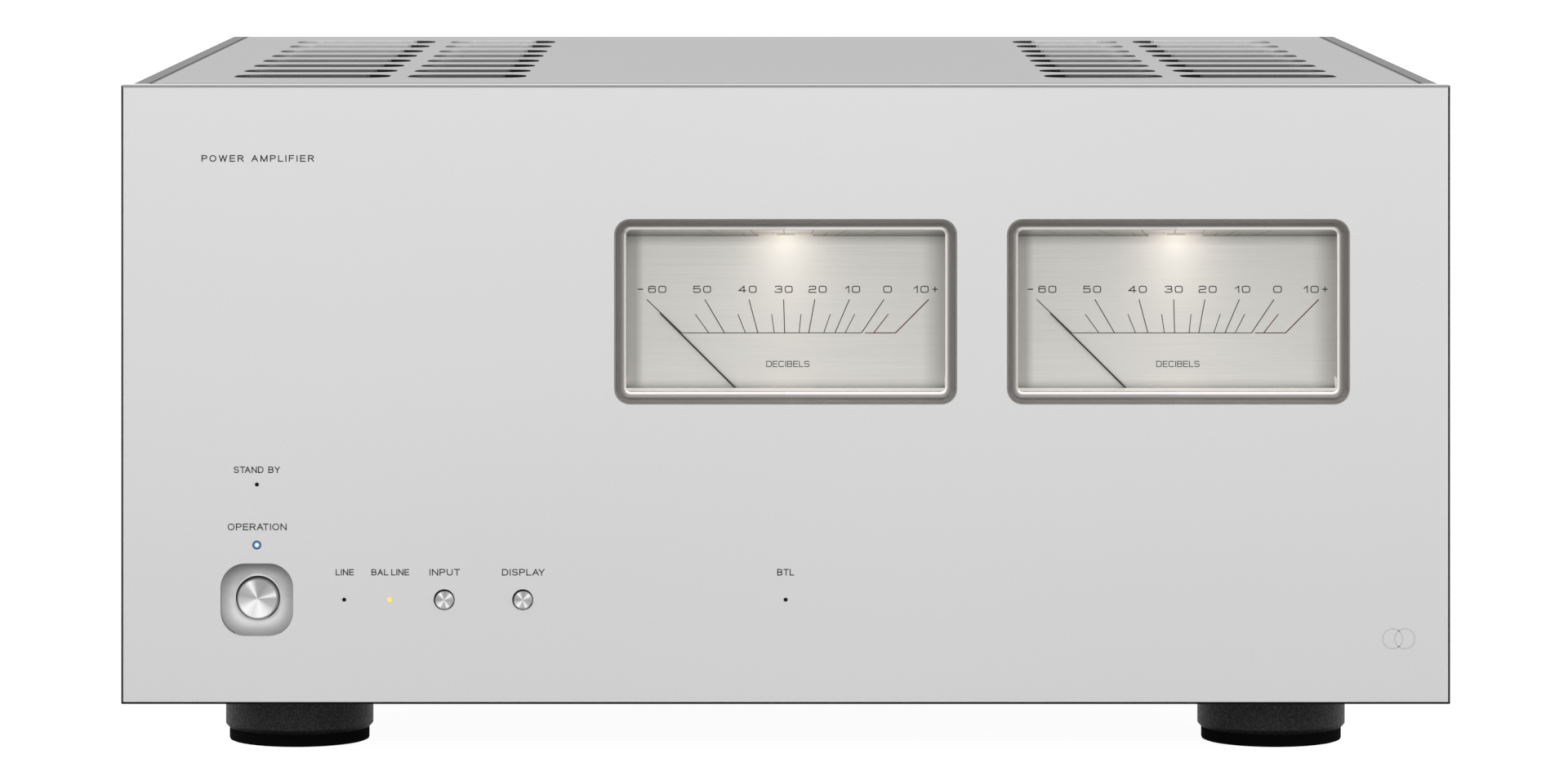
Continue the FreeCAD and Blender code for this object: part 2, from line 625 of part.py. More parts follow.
def lamp(x):
    return fuse(mid_box(x, 8.5, -229.0, -226.4, 175.2, 176.2),
                mid_box(x, 3.0, -228.6, -226.6, 173.5, 175.2))


for label, meter_x in METERS:
    save("meter_bezel_" + label, bezel(meter_x))
    save("meter_window_" + label, window(meter_x))
    save("meter_dial_" + label, dial(meter_x))
    save("meter_needle_" + label, needle(meter_x))
save("meter_cases", [case(x) for _, x in METERS])
save("meter_movements", [movement(x) for _, x in METERS])
save("meter_lamps", [lamp(x) for _, x in METERS])

# ---------------------------------------------------------------- power button, switch, spring
POWER_R = 6.85
POWER_FACE = PANEL_FRONT + 3.0     # button face, behind the panel face
SWITCH_FRONT, SWITCH_BACK = -218.0, -196.0
SPRING_R, SPRING_WIRE_R = 4.2, 0.45
SPRING_PITCH, SPRING_TURNS = 2.3, 4.0


def power_button():
    cap = y_cyl(POWER_R, POWER_X, POWER_Z, POWER_FACE, PANEL_BACK + 0.4)
    cap = cap.makeChamfer(0.5, edges_at_y(cap, POWER_FACE))
    collar = y_cyl(8.8, POWER_X, POWER_Z, PANEL_BACK + 0.1, PANEL_BACK + 2.4)
    return fuse(cap, collar, y_cyl(2.0, POWER_X, POWER_Z, PANEL_BACK + 2.4, -212.0))


def power_switch():
    body = y_box(POWER_X, POWER_Z, 12, 12, SWITCH_FRONT, SWITCH_BACK)
    body = body.makeFillet(1.0, edges_where(body, lambda b: b.YLength > 10))
    ears = [y_box(POWER_X + side * 15.0, POWER_Z, 4.0, 4.0, SUB_BACK, -213.0) for side in SIDES]
    tabs = [y_box(POWER_X + side * 6, POWER_Z + dz, 0.4, 2.4, SWITCH_BACK, -188.0)
            for side in SIDES for dz in (-6, 6)]
    return cut(fuse(body, ears, tabs),
               y_cyl(2.06, POWER_X, POWER_Z, SWITCH_FRONT - 1, -206.0),
               y_cyl(6.2, POWER_X, POWER_Z, SWITCH_FRONT - 1, SWITCH_FRONT + 1))


def power_spring():
    helix = Part.makeHelix(SPRING_PITCH, SPRING_PITCH * SPRING_TURNS, SPRING_R)
    section = Part.Wire([Part.makeCircle(SPRING_WIRE_R, Vec(SPRING_R, 0, 0), Y_AXIS)])
    spring = Part.Wire(helix).makePipeShell([section], True, True)
    spring.rotate(Vec(), X_AXIS, -90)
    spring.translate(Vec(POWER_X, -227.9, POWER_Z))
    return outward(spring)


save("power_button", power_button())
save("power_switch", power_switch())
save("power_button_spring", power_spring())

# ---------------------------------------------------------------- small buttons
SMALL_R = 3.10
SMALL_COLLAR_BACK = PANEL_BACK - 1.2


def small_button(x):
    face = PANEL_FRONT - BUTTON_PROUD
    cap = y_cyl(SMALL_R, x, SMALL_Z, face, SMALL_COLLAR_BACK)
    cap = cap.makeChamfer(0.35, edges_at_y(cap, face))
    return fuse(cap, y_cyl(4.7, x, SMALL_Z, PANEL_BACK - 2.9, SMALL_COLLAR_BACK),
                y_cyl(1.5, x, SMALL_Z, SMALL_COLLAR_BACK, -225.6))


for name, button_x in SMALL_BUTTONS:
    save(name, small_button(button_x))


# ---------------------------------------------------------------- control board
def control_board():
    """Board with tactile switches on its front and components on its back."""
    back = CONTROL_Y + PCB_T
    board = fuse(box(-192.0, 12.0, CONTROL_Y, back, 40.0, 88.0),
                 box(-192.0, -158.0, CONTROL_Y, back, 88.0, 99.0))
    # clearance round the power switch
    board = cut(board, box(POWER_X - 22, POWER_X + 20.5, CONTROL_Y - 1, CONTROL_Y + 3,
                           POWER_Z - 14, POWER_Z + 13))
    parts = [board]
    for _, x in SMALL_BUTTONS:
        parts.append(y_box(x, SMALL_Z, 3, 3, CONTROL_Y - 3.5, CONTROL_Y))
        parts.append(y_cyl(1.6, x, SMALL_Z, CONTROL_Y - 4.5, CONTROL_Y - 3.4))
    parts.append(y_box(-60.0, 60.0, 10.0, 10.0, back, CONTROL_Y + 4.0))
    parts.append(y_box(-20.0, 47.0, 10.0, 3.0, back, CONTROL_Y + 9.0))
    parts += [y_cyl(2.5, -150.0 + i * 13.0, 80.0, back, CONTROL_Y + 9.0) for i in range(6)]
    parts += [y_cyl(2.6, x, z, SUB_BACK, CONTROL_Y)
              for x, z in ((-152.0, 43.0), (8.0, 43.0), (8.0, 84.0), (-152.0, 84.0))]
    return fuse(parts)


save("control_board", control_board())


# ---------------------------------------------------------------- indicator lamps
def indicator(x, z, lens_r, base_r, set_back):
    """Lens through the panel on a wider stem to the control board."""
    return fuse(y_cyl(lens_r, x, z, PANEL_FRONT + set_back, PANEL_BACK - 2.5),
                y_cyl(base_r, x, z, PANEL_BACK - 2.6, CONTROL_Y))


save("indicator_leds", [indicator(x, z, SMALL_LED_R - 0.04, 1.6, 0.2) for x, z in SMALL_LEDS])
save("operation_led", indicator(*MAIN_LED, MAIN_LED_R, 2.0, 0.1))

# ---------------------------------------------------------------- speaker terminals
POST_R = 4.0
SOCKET_R, SOCKET_DEPTH = 2.0, 20.0  # banana plug bore
# radius, y
BUSHING = [(3.05, 203.1), (12.0, 203.1), (12.0, REAR_INNER), (7.0, REAR_INNER), (7.0, REAR_Y),
           (13.5, REAR_Y), (13.5, REAR_Y + 2.6), (12.9, REAR_Y + 3.2), (10.5, REAR_Y + 3.6),
           (10.5, REAR_Y + 4.0), (3.05, REAR_Y + 4.0)]
WASHER = [(POST_R + 0.08, 214.1), (9.0, 214.1), (9.4, 214.5), (9.4, 216.1), (9.0, 216.5),
          (POST_R + 0.08, 216.5)]
CAP = [(POST_R + 0.06, 216.6), (8.6, 216.6), (9.2, 217.2), (9.2, 218.8), (8.2, 219.4),
       (8.2, 220.6), (10.4, 221.4), (10.4, 239.0), (9.6, 240.6), (8.2, 241.0), (5.6, 241.0),
       (4.9, 240.2), (POST_R + 0.06, 239.2)]
FLUTES, FLUTE_R, FLUTE_CIRCLE_R = 12, 1.3, 11.1


def terminal_post(x):
    post = fuse(y_cyl(POST_R, x, POST_Z, REAR_Y + 4.0, TERMINAL_TIP),
                y_cyl(3.0, x, POST_Z, 186.0, REAR_Y + 4.0),
                hex_prism(10.0, (x, 198.0, POST_Z), Y_AXIS, 5.0))
    return cut(post, y_cyl(SOCKET_R, x, POST_Z, TERMINAL_TIP - SOCKET_DEPTH, TERMINAL_TIP + 1))


def terminal_cap(x):
    flutes = []
    for i in range(FLUTES):
        angle = 2 * math.pi * i / FLUTES
        flutes.append(y_cyl(FLUTE_R, x + FLUTE_CIRCLE_R * math.cos(angle),
                            POST_Z + FLUTE_CIRCLE_R * math.sin(angle), 222.5, 238.2))
    return cut(revolve(CAP, Y_AXIS, Vec(x, 0, POST_Z)), flutes)


for label, post_x in POSTS:
    save("terminal_washer_" + label, revolve(WASHER, Y_AXIS, Vec(post_x, 0, POST_Z)))
    save("terminal_cap_" + label, terminal_cap(post_x))
save("terminal_posts", [terminal_post(x) for _, x in POSTS])
save("terminal_bushings", [revolve(BUSHING, Y_AXIS, Vec(x, 0, POST_Z)) for _, x in POSTS])

# ---------------------------------------------------------------- line inputs
# radius, y
RCA = [(0.0, 192.0), (4.0, 192.0), (4.0, 200.0), (5.0, 200.0), (5.0, REAR_Y), (7.2, REAR_Y),
       (7.2, REAR_Y + 1.2), (6.6, REAR_Y + 1.8), (4.5, REAR_Y + 1.8), (4.15, REAR_Y + 2.1),
       (4.15, REAR_Y + 9.6), (3.9, REAR_Y + 9.9), (3.55, REAR_Y + 9.9), (3.55, REAR_Y + 2.0),
       (2.6, REAR_Y + 2.0), (2.6, REAR_Y + 8.6), (1.6, REAR_Y + 8.6), (1.6, REAR_Y - 2.0),
       (0.0, REAR_Y - 2.0)]
XLR_PINS = ((-3.6, 1.6), (3.6, 1.6), (0.0, -3.9))   # x, z from the jack centre


def rca_jack(x):
    nut = cut(hex_prism(13.0, (x, 205.0, RCA_Z), Y_AXIS, 3.0), y_cyl(4.5, x, RCA_Z, 204, 209))
    return fuse(revolve(RCA, Y_AXIS, Vec(x, 0, RCA_Z)), nut)


def xlr_jack(x):
    body = fuse(y_rounded(26.0, 31.0, 3.0, x, XLR_Z, REAR_Y, REAR_Y + 2.0),
                y_cyl(11.8, x, XLR_Z, 188.0, REAR_Y + 0.5),
                y_cyl(11.2, x, XLR_Z, REAR_Y + 2.0, REAR_Y + 3.2))
    groove = cut(y_cyl(9.6, x, XLR_Z, REAR_Y - 9.0, REAR_Y + 4.0),
                 y_cyl(8.0, x, XLR_Z, REAR_Y - 10.0, REAR_Y + 2.2))
    pins = [y_cyl(1.35, x + dx, XLR_Z + dz, REAR_Y - 10.0, REAR_Y + 4.0) for dx, dz in XLR_PINS]
    holes = [y_cyl(1.5, x + dx, XLR_Z + dz, REAR_Y - 1, REAR_Y + 3.0) for dx, dz in XLR_SCREWS]
    latch_slot = mid_box(x, 3.6, REAR_Y - 6.0, REAR_Y + 4.0, XLR_Z + 8.3, XLR_Z + 13.4)
    return cut(body, groove, pins, holes, latch_slot)


def xlr_latch(x):
    latch = fuse(mid_box(x, 3.4, REAR_Y + 1.0, REAR_Y + 4.4, XLR_Z + 9.4, XLR_Z + 13.0),
                 mid_box(x, 3.4, REAR_Y - 5.6, REAR_Y + 1.0, XLR_Z + 9.4, XLR_Z + 10.6))
    return latch.makeFillet(0.5, edges_at_y(latch, REAR_Y + 4.4))


save("rca_jacks", [rca_jack(side * RCA_X) for side in SIDES])
save("xlr_jacks", [xlr_jack(side * XLR_X) for side in SIDES])
save("xlr_latch_left", xlr_latch(-XLR_X))
save("xlr_latch_right", xlr_latch(XLR_X))


# ---------------------------------------------------------------- mode switch
def mode_switch():
    body = y_box(MODE_X, MODE_Z, 11.5, 5.0, 200.0, 207.9)
    body = cut(body, y_box(MODE_X, MODE_Z, 6.0, 2.6, 203.0, 209.0),
               [y_cyl(1.3, MODE_X + side * MODE_SCREW_X, MODE_Z, 203.0, 209.0)
                for side in SIDES])
    return fuse(body, [y_box(MODE_X + dx, MODE_Z, 0.4, 1.0, 195.0, 200.0) for dx in (-4, 0, 4)])


def mode_lever():
    """Slider at the left end of its slot, with three grip grooves."""
    left = MODE_X - 5.8
    lever = box(left, left + 4.6, 203.2, REAR_Y + 2.2, MODE_Z - 2.3, MODE_Z + 2.3)
    return cut(lever, [box(left + 0.9 + i * 1.2, left + 1.3 + i * 1.2, REAR_Y + 1.7, REAR_Y + 3,
                           MODE_Z - 3, MODE_Z + 3) for i in range(3)])


save("mode_switch", mode_switch())
save("mode_switch_lever", mode_lever())

# ---------------------------------------------------------------- mains inlet
INLET_OUTLINE = ((-12.2, -8.0), (12.2, -8.0), (12.2, 4.2),
                 (8.4, 8.0), (-8.4, 8.0), (-12.2, 4.2))   # x, z from the inlet centre
INLET_PINS = ((-7.0, -2.0), (7.0, -2.0), (0.0, 2.4))      # x, z from the inlet centre
INLET_BACK = 184.0
SOCKET_FLOOR = REAR_Y - 14.0


def mains_inlet():
    body = fuse(y_rounded(50.0, 28.0, 4.0, INLET_X, INLET_Z, REAR_Y, REAR_Y + 2.0),
                y_rounded(28.0, 20.4, 1.5, INLET_X, INLET_Z, INLET_BACK, REAR_Y + 0.5),
                y_rounded(31.0, 23.4, 2.0, INLET_X, INLET_Z, REAR_Y + 1.5, REAR_Y + 3.2))
    socket = polygon_face([Vec(INLET_X + x, SOCKET_FLOOR, INLET_Z + z)
                           for x, z in INLET_OUTLINE]).extrude(Vec(0, 18.0, 0))
    body = cut(body, socket,
               [y_cyl(1.6, INLET_X + side * INLET_SCREW_X, INLET_Z, REAR_Y - 1, REAR_Y + 3)
                for side in SIDES])
    pins = [y_box(INLET_X + dx, INLET_Z + dz, 1.0, 2.0, SOCKET_FLOOR, REAR_Y - 1.0)
            for dx, dz in INLET_PINS]
    tabs = [y_box(INLET_X + dx, INLET_Z, 0.4, 3.2, 176.0, INLET_BACK) for dx in (-7.0, 0.0, 7.0)]
    return fuse(body, pins, tabs)


save("ac_inlet", mains_inlet())


# ---------------------------------------------------------------- transformer
def around(half_depth):
    """Y limits centred on the transformer."""
    return TRANSFORMER_Y - half_depth, TRANSFORMER_Y + half_depth


def transformer_core():
    core = mid_box(0, 75.0, *around(50.0), BRACKET_TOP, 153.0)
    return cut(core, [side_box(side, 25.0, 50.0, *around(51), 53.0, 128.0) for side in SIDES])


def transformer_windings():
    """Winding between two bobbin flanges, bored for the middle limb."""
    winding = z_rounded(-49.6, 49.6, *around(74.0), 14.0, 56.0, 125.0)
    flanges = [z_rounded(-49.8, 49.8, *around(75.5), 6.0, z, z + 2.6) for z in (53.4, 125.0)]
    return cut(fuse(winding, flanges), mid_box(0, 25.2, *around(50.2), 50.0, 130.0))


def transformer_bracket():
    bracket = fuse(mid_box(0, 92.0, *around(50.0), BASE_TOP, BRACKET_TOP),
                   [side_box(side, 75.0, 78.0, *around(46.0), BRACKET_TOP, 140.0)
                    for side in SIDES])
    return cut(bracket, [z_cyl(3.1, x, y, 24.0, 29.0) for x, y in TRANSFORMER_BOLTS],
               [mid_box(side * 70.0, 12, *around(18), 60.0, 118.0) for side in SIDES])


save("transformer_core", transformer_core())
save("transformer_windings", transformer_windings())
save("transformer_bracket", transformer_bracket())

# ---------------------------------------------------------------- capacitors and supply board
SUPPLY_TOP = 30.2                  # top face of the supply board
SUPPLY_UNDER = SUPPLY_TOP - PCB_T
# radius, z
CAPACITOR = [(0.0, SUPPLY_TOP), (20.6, SUPPLY_TOP), (20.6, 33.0), (20.0, 34.0), (20.0, 35.2),
             (21.0, 36.4), (21.0, 110.6), (20.4, 111.6), (19.2, 112.0), (18.6, 111.2),
             (0.0, 111.2)]


def capacitor(x, y):
    """Can with a crimped foot and a cross scored in its top."""
    return cut(revolve(CAPACITOR, Z_AXIS, Vec(x, y, 0)),
               mid_box(x, 10.0, y - 0.4, y + 0.4, 110.7, 112.0),
               mid_box(x, 0.4, y - 10.0, y + 10.0, 110.7, 112.0))


def supply_board():
    parts = [mid_box(0, 91.0, -14.0, 128.0, SUPPLY_UNDER, SUPPLY_TOP)]
    parts += [side_box(side, 28.0, 60.0, 90.0, 114.0, SUPPLY_TOP, 42.0) for side in SIDES]
    parts.append(mid_box(0, 18.0, 98.0, 106.0, SUPPLY_TOP, 38.0))
    parts += [z_cyl(5.0, x, 120.0, SUPPLY_TOP, 46.0) for x in (-80.0, -68.0, 68.0, 80.0)]
    parts += [z_cyl(3.0, x, y, BASE_TOP, SUPPLY_UNDER)
              for x in (-86.0, 86.0) for y in (-9.0, 123.0)]
    parts += [mid_box(x, 5.0, 84.5, 88.5, SUPPLY_TOP, 45.0) for x in (-80.0, 80.0)]
    return fuse(parts)


save("filter_capacitors", [capacitor(x, y) for x in (-69.0, -23.0, 23.0, 69.0)
                           for y in (12.0, 60.0)])
save("power_supply_board", supply_board())

# ---------------------------------------------------------------- heatsinks, output devices
SINK_IN, FIN_ROOT, FIN_TIP = 128.0, 136.0, 200.0   # |x|
SINK_Y0, SINK_Y1 = -178.0, 162.0
SINK_Z0, SINK_Z1 = 34.0, 186.0
FINS, FIN_T = 35, 2.4
BOARD_IN = 110.0                   # |x| of the amplifier board's inner face
BOARD_OUT = BOARD_IN + PCB_T
DEVICE_YS = [-150.0 + 32.0 * i for i in range(10)]


def heatsink():
    """Right-hand heatsink, fins outward, on three feet."""
    plate = box(SINK_IN, FIN_ROOT, SINK_Y0, SINK_Y1, SINK_Z0, SINK_Z1)
    pitch = (SINK_Y1 - SINK_Y0 - FIN_T) / (FINS - 1)
    fins = [box(FIN_ROOT, FIN_TIP, SINK_Y0 + i * pitch, SINK_Y0 + i * pitch + FIN_T,
                SINK_Z0, SINK_Z1) for i in range(FINS)]
    feet = [box(SINK_IN, SINK_IN + 6.0, y - 10, y + 10, BASE_TOP, SINK_Z0)
            for y in (-150.0, 0.0, 140.0)]
    return fuse(plate, fins, feet)


def output_transistor(side, y):
    """Package on the heatsink, three legs bent to the board, and a screw head."""
    parts = [side_box(side, 123.2, SINK_IN, y - 7.8, y + 7.8, 100.0, 120.0)]
    for dy in (-5.4, 0.0, 5.4):
        width = (y + dy - 0.6, y + dy + 0.6)
        parts.append(side_box(side, 124.0, 124.6, *width, 92.0, 100.0))
        parts.append(side_box(side, BOARD_OUT, 124.6, *width, 92.0, 92.6))
    return fuse(fuse(parts), x_cyl(3.2, y, 114.0, *span(side, 121.2, 123.2)))


def amplifier_board(side):
    parts = [side_box(side, BOARD_IN, BOARD_OUT, -168.0, 158.0, 44.0, 172.0)]
    parts += [side_box(side, BOARD_OUT, 118.6, y - 9.0, y + 9.0, 66.0, 76.0)
              for y in DEVICE_YS]
    for i in range(8):
        y = -148.0 + i * 40.0
        parts.append(x_cyl(5.0, y, 150.0, *span(side, 98.5, BOARD_IN)))
        parts.append(side_box(side, 104.0, BOARD_IN, y - 9.0, y + 9.0, 122.0, 132.0))
        parts.append(x_cyl(3.2, y + 16.0, 150.0, *span(side, 102.0, BOARD_IN)))
    parts += [x_cyl(3.0, y, z, *span(side, BOARD_OUT, SINK_IN))
              for y in (-160.0, 0.0, 150.0) for z in (52.0, 164.0)]
    return fuse(parts)


right_sink = heatsink()
save("heatsink_right", right_sink)
save("heatsink_left", right_sink.mirror(Vec(), X_AXIS))
save("output_transistors", [output_transistor(side, y) for side in SIDES for y in DEVICE_YS])
save("amplifier_boards", [amplifier_board(side) for side in SIDES])

# ---------------------------------------------------------------- input and relay boards
INPUT_Y = 184.0                    # front face of the input board
RELAY_Y = 186.0                    # back face of the relay boards


def input_board():
    board = mid_box(0, 62.0, INPUT_Y, INPUT_Y + PCB_T, 108.0, 202.0)
    board = cut(board, [y_cyl(5.0, side * RCA_X, RCA_Z, 183.0, 187.0) for side in SIDES])
    parts = [board]
    parts += [mid_box(x, 8, 180.5, INPUT_Y, 160.0, 166.0) for x in (-48.0, -16.0, 16.0, 48.0)]
    parts += [y_cyl(4.0, x, 150.0, 174.0, INPUT_Y) for x in (-50.0, -8.0, 8.0, 50.0)]
    parts.append(mid_box(0, 20.0, 176.0, INPUT_Y, 112.0, 118.0))
    parts += [y_cyl(2.5, x, z, INPUT_Y + PCB_T, REAR_INNER)
              for x in (-57.0, 57.0) for z in (113.0, 197.0)]
    return fuse(parts)


def relay_board(side):
    front = RELAY_Y - PCB_T
    return fuse(side_box(side, 102.0, 182.0, front, RELAY_Y, 50.0, 112.0),
                [mid_box(side * x, 14.0, 168.4, front, 56.0, 84.0) for x in (122.0, 158.0)],
                [y_cyl(2.5, side * x, z, RELAY_Y, REAR_INNER)
                 for x in (106.0, 178.0) for z in (55.0, 107.0)])


save("input_board", input_board())
save("relay_boards", [relay_board(side) for side in SIDES])

# ---------------------------------------------------------------- wiring
LEAD_X = 92.2                      # |x| of leads running along the partition walls
POWER_LEAD_R, SIGNAL_LEAD_R = 1.7, 1.4
# Points along each lead: x, y, z
INLET_TO_SWITCH = [
    (-7.0, 175.8, 60.0), (-7.0, 166.0, 60.0), (-20.0, 150.0, 48.0), (-60.0, 136.0, 36.0),
    (-84.0, 132.0, 36.0), (-LEAD_X, 120.0, 50.0), (-LEAD_X, -150.0, 50.0),
    (-LEAD_X, -168.0, 42.0), (-95.0, -178.0, 37.0), (-104.0, -184.0, 38.0),
    (-150.0, -186.0, 42.0), (-163.0, -184.5, 47.8), (-169.0, -184.5, 47.8),
    (-169.0, -187.9, 47.8)]
INLET_TO_TRANSFORMER = [
    (7.0, 175.8, 60.0), (7.0, 164.0, 60.0), (24.0, 146.0, 46.0), (62.0, 136.0, 36.0),
    (84.0, 132.0, 40.0), (LEAD_X, 120.0, 58.0), (LEAD_X, -5.0, 58.0), (86.0, -17.0, 66.0),
    (60.0, -19.0, 84.0), (30.0, -19.0, 95.0), (30.0, -30.8, 95.0)]
INPUT_TO_CONTROL = [
    (-15.0, 175.8, 115.0), (-15.0, 162.0, 115.0), (-40.0, 120.0, 122.0), (-60.0, 20.0, 124.0),
    (-84.0, -20.0, 130.0), (-84.0, -160.0, 130.0), (-66.0, -188.0, 84.0),
    (-30.0, -204.0, 56.0), (-20.0, -207.0, 47.0), (-20.0, -210.8, 47.0)]
SUPPLY_TO_RELAY = [
    (80.0, 88.8, 40.0), (80.0, 94.0, 40.0), (85.0, 100.0, 46.0), (95.0, 114.0, 50.0),
    (103.0, 130.0, 54.0), (104.5, 160.0, 66.0), (106.0, 178.0, 96.0), (106.0, 184.2, 96.0)]


def cable(points, radius):
    """Round cable laid as straight runs with ball corners."""
    runs = [cylinder(radius, start, end) for start, end in zip(points[:-1], points[1:])]
    balls = [Part.makeSphere(radius, Vec(*point)) for point in points[1:-1]]
    return runs[0].multiFuse(runs[1:] + balls)


leads = [cable(INLET_TO_SWITCH, POWER_LEAD_R),
         cable(INLET_TO_TRANSFORMER, POWER_LEAD_R),
         cable(INPUT_TO_CONTROL, SIGNAL_LEAD_R)]
for lead_side in (1, -1):
    leads.append(cable([(lead_side * x, y, z) for x, y, z in SUPPLY_TO_RELAY], POWER_LEAD_R))
save("wiring", leads)
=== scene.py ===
import json
import math
import os

import bpy
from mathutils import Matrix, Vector

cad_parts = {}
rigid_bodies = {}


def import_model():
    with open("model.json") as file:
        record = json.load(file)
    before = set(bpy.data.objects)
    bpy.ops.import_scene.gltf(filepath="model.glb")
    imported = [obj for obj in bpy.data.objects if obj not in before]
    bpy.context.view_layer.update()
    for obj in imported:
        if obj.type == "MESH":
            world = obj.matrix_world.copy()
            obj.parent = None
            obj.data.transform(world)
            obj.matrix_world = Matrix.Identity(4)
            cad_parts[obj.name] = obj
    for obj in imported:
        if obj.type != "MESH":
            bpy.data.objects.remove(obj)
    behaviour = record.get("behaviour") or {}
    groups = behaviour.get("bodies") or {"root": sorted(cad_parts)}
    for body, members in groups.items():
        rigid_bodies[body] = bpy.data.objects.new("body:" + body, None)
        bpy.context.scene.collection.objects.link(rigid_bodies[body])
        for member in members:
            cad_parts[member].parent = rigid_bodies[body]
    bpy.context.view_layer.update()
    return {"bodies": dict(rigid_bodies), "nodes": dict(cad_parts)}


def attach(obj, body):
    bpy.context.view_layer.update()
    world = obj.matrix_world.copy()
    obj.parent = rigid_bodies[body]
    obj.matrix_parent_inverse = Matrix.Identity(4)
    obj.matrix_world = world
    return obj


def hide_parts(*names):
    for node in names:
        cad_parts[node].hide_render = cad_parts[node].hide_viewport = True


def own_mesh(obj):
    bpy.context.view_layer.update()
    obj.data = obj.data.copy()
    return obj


MM = 0.001
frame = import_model()
NODES = frame["nodes"]
BODIES = frame["bodies"]
scene = bpy.context.scene

# ------------------------------------------------------------------ dimensions shared with the solids (mm)
YF, YB = -243.0, -231.0
REAR_Y = 210.0
METER_X = (0.0, 130.0)
METER_Z = 149.0
DIAL_Y = -226.0
PIVOT_Z = 106.0
POWER_X, POWER_Z = -175.0, 53.8
POST_X = (-158.0, -118.0, 118.0, 158.0)


# ------------------------------------------------------------------ node-tree helpers
class Tree:
    def __init__(self, name):
        self.mat = bpy.data.materials.new(name)
        self.mat.use_nodes = True
        self.t = self.mat.node_tree
        self.t.nodes.clear()
        self.out = self.t.nodes.new("ShaderNodeOutputMaterial")
        self.coord = self.t.nodes.new("ShaderNodeTexCoord")

    def new(self, kind, **props):
        n = self.t.nodes.new(kind)
        for k, v in props.items():
            setattr(n, k, v)
        return n

    def link(self, a, b):
        self.t.links.new(a, b)

    def put(self, sock, v):
        if isinstance(v, bpy.types.NodeSocket):
            self.link(v, sock)
        else:
            sock.default_value = v

    def math(self, op, a, b=None, c=None, clamp=False):
        n = self.new("ShaderNodeMath", operation=op, use_clamp=clamp)
        self.put(n.inputs[0], a)
        if b is not None:
            self.put(n.inputs[1], b)
        if c is not None:
            self.put(n.inputs[2], c)
        return n.outputs[0]

    def xyz(self):
        n = self.new("ShaderNodeSeparateXYZ")
        self.link(self.coord.outputs["Object"], n.inputs[0])
        return n.outputs[0], n.outputs[1], n.outputs[2]

    def vec(self, scale):
        m = self.new("ShaderNodeMapping")
        self.link(self.coord.outputs["Object"], m.inputs["Vector"])
        m.inputs["Scale"].default_value = scale
        return m.outputs[0]

    def noise(self, scale=(1, 1, 1), size=100.0, detail=2.0, rough=0.5):
        n = self.new("ShaderNodeTexNoise")
        self.link(self.vec(scale), n.inputs["Vector"])
        n.inputs["Scale"].default_value = size
        n.inputs["Detail"].default_value = detail
        n.inputs["Roughness"].default_value = rough
        return n.outputs["Fac"]

    def ramp(self, fac, stops):
        n = self.new("ShaderNodeValToRGB")
        self.put(n.inputs[0], fac)
        e = n.color_ramp.elements
        while len(e) < len(stops):
            e.new(0.5)
        for el, (p, c) in zip(e, stops):
            el.position = p
            el.color = c if len(c) == 4 else (*c, 1.0)
        return n.outputs["Color"]

    def map(self, v, a, b, c, d, clamp=True):
        n = self.new("ShaderNodeMapRange", clamp=clamp)
        self.put(n.inputs["Value"], v)
        for k, x in zip(("From Min", "From Max", "To Min", "To Max"), (a, b, c, d)):
            self.put(n.inputs[k], x)
        return n.outputs["Result"]

    def mix(self, fac, a, b):
        n = self.new("ShaderNodeMix", data_type="RGBA")
        self.put(n.inputs["Factor"], fac)
        for s, v in ((n.inputs["A"], a), (n.inputs["B"], b)):
            pass
        cols = [s for s in n.inputs if s.type == "RGBA"]
        for s, v in zip(cols, (a, b)):
            if isinstance(v, bpy.types.NodeSocket):
                self.link(v, s)
            else:
                s.default_value = v if len(v) == 4 else (*v, 1.0)
        return [o for o in n.outputs if o.type == "RGBA"][0]

    def bump(self, height, strength, dist):
        n = self.new("ShaderNodeBump")
        self.put(n.inputs["Height"], height)
        n.inputs["Strength"].default_value = strength
        n.inputs["Distance"].default_value = dist
        return n.outputs[0]

    def bsdf(self, color, metallic=0.0, rough=0.5, normal=None, **kw):
        n = self.new("ShaderNodeBsdfPrincipled")
        if isinstance(color, bpy.types.NodeSocket):
            self.link(color, n.inputs["Base Color"])
        else:
            n.inputs["Base Color"].default_value = color if len(color) == 4 else (*color, 1.0)
        self.put(n.inputs["Metallic"], metallic)
        self.put(n.inputs["Roughness"], rough)
        if normal is not None:
            self.link(normal, n.inputs["Normal"])
        for k, v in kw.items():
            self.put(n.inputs[k], v)
        return n

    def done(self, shader):
        self.link(shader if isinstance(shader, bpy.types.NodeSocket) else shader.outputs[0], self.out.inputs["Surface"])
        return self.mat


def g(v):
    return (v, v, v, 1.0)


def grained(name, color, metallic, rough, grain=2600.0, amount=0.03, bump=0.15, dist=0.00004, spread=0.05, scale=(1, 1, 1), **kw):
    """Surface with fine grain in colour, roughness and relief, plus a slow drift in tone."""
    t = Tree(name)
    fine = t.noise(scale, grain, 2.0, 0.6)
    slow = t.noise((1, 1, 1), 9.0, 1.0, 0.4)
    tone = t.math("ADD", t.map(fine, 0.3, 0.7, 1 - amount, 1 + amount), t.map(slow, 0.3, 0.7, -amount * 0.35, amount * 0.35))
    col = t.new("ShaderNodeVectorMath", operation="SCALE")
    col.inputs[0].default_value = color[:3]
    t.link(tone, col.inputs["Scale"])
    r = t.map(fine, 0.25, 0.75, rough - spread, rough + spread)
    n = t.bump(fine, bump, dist)
    return t.done(t.bsdf(col.outputs[0], metallic, r, n, **kw))


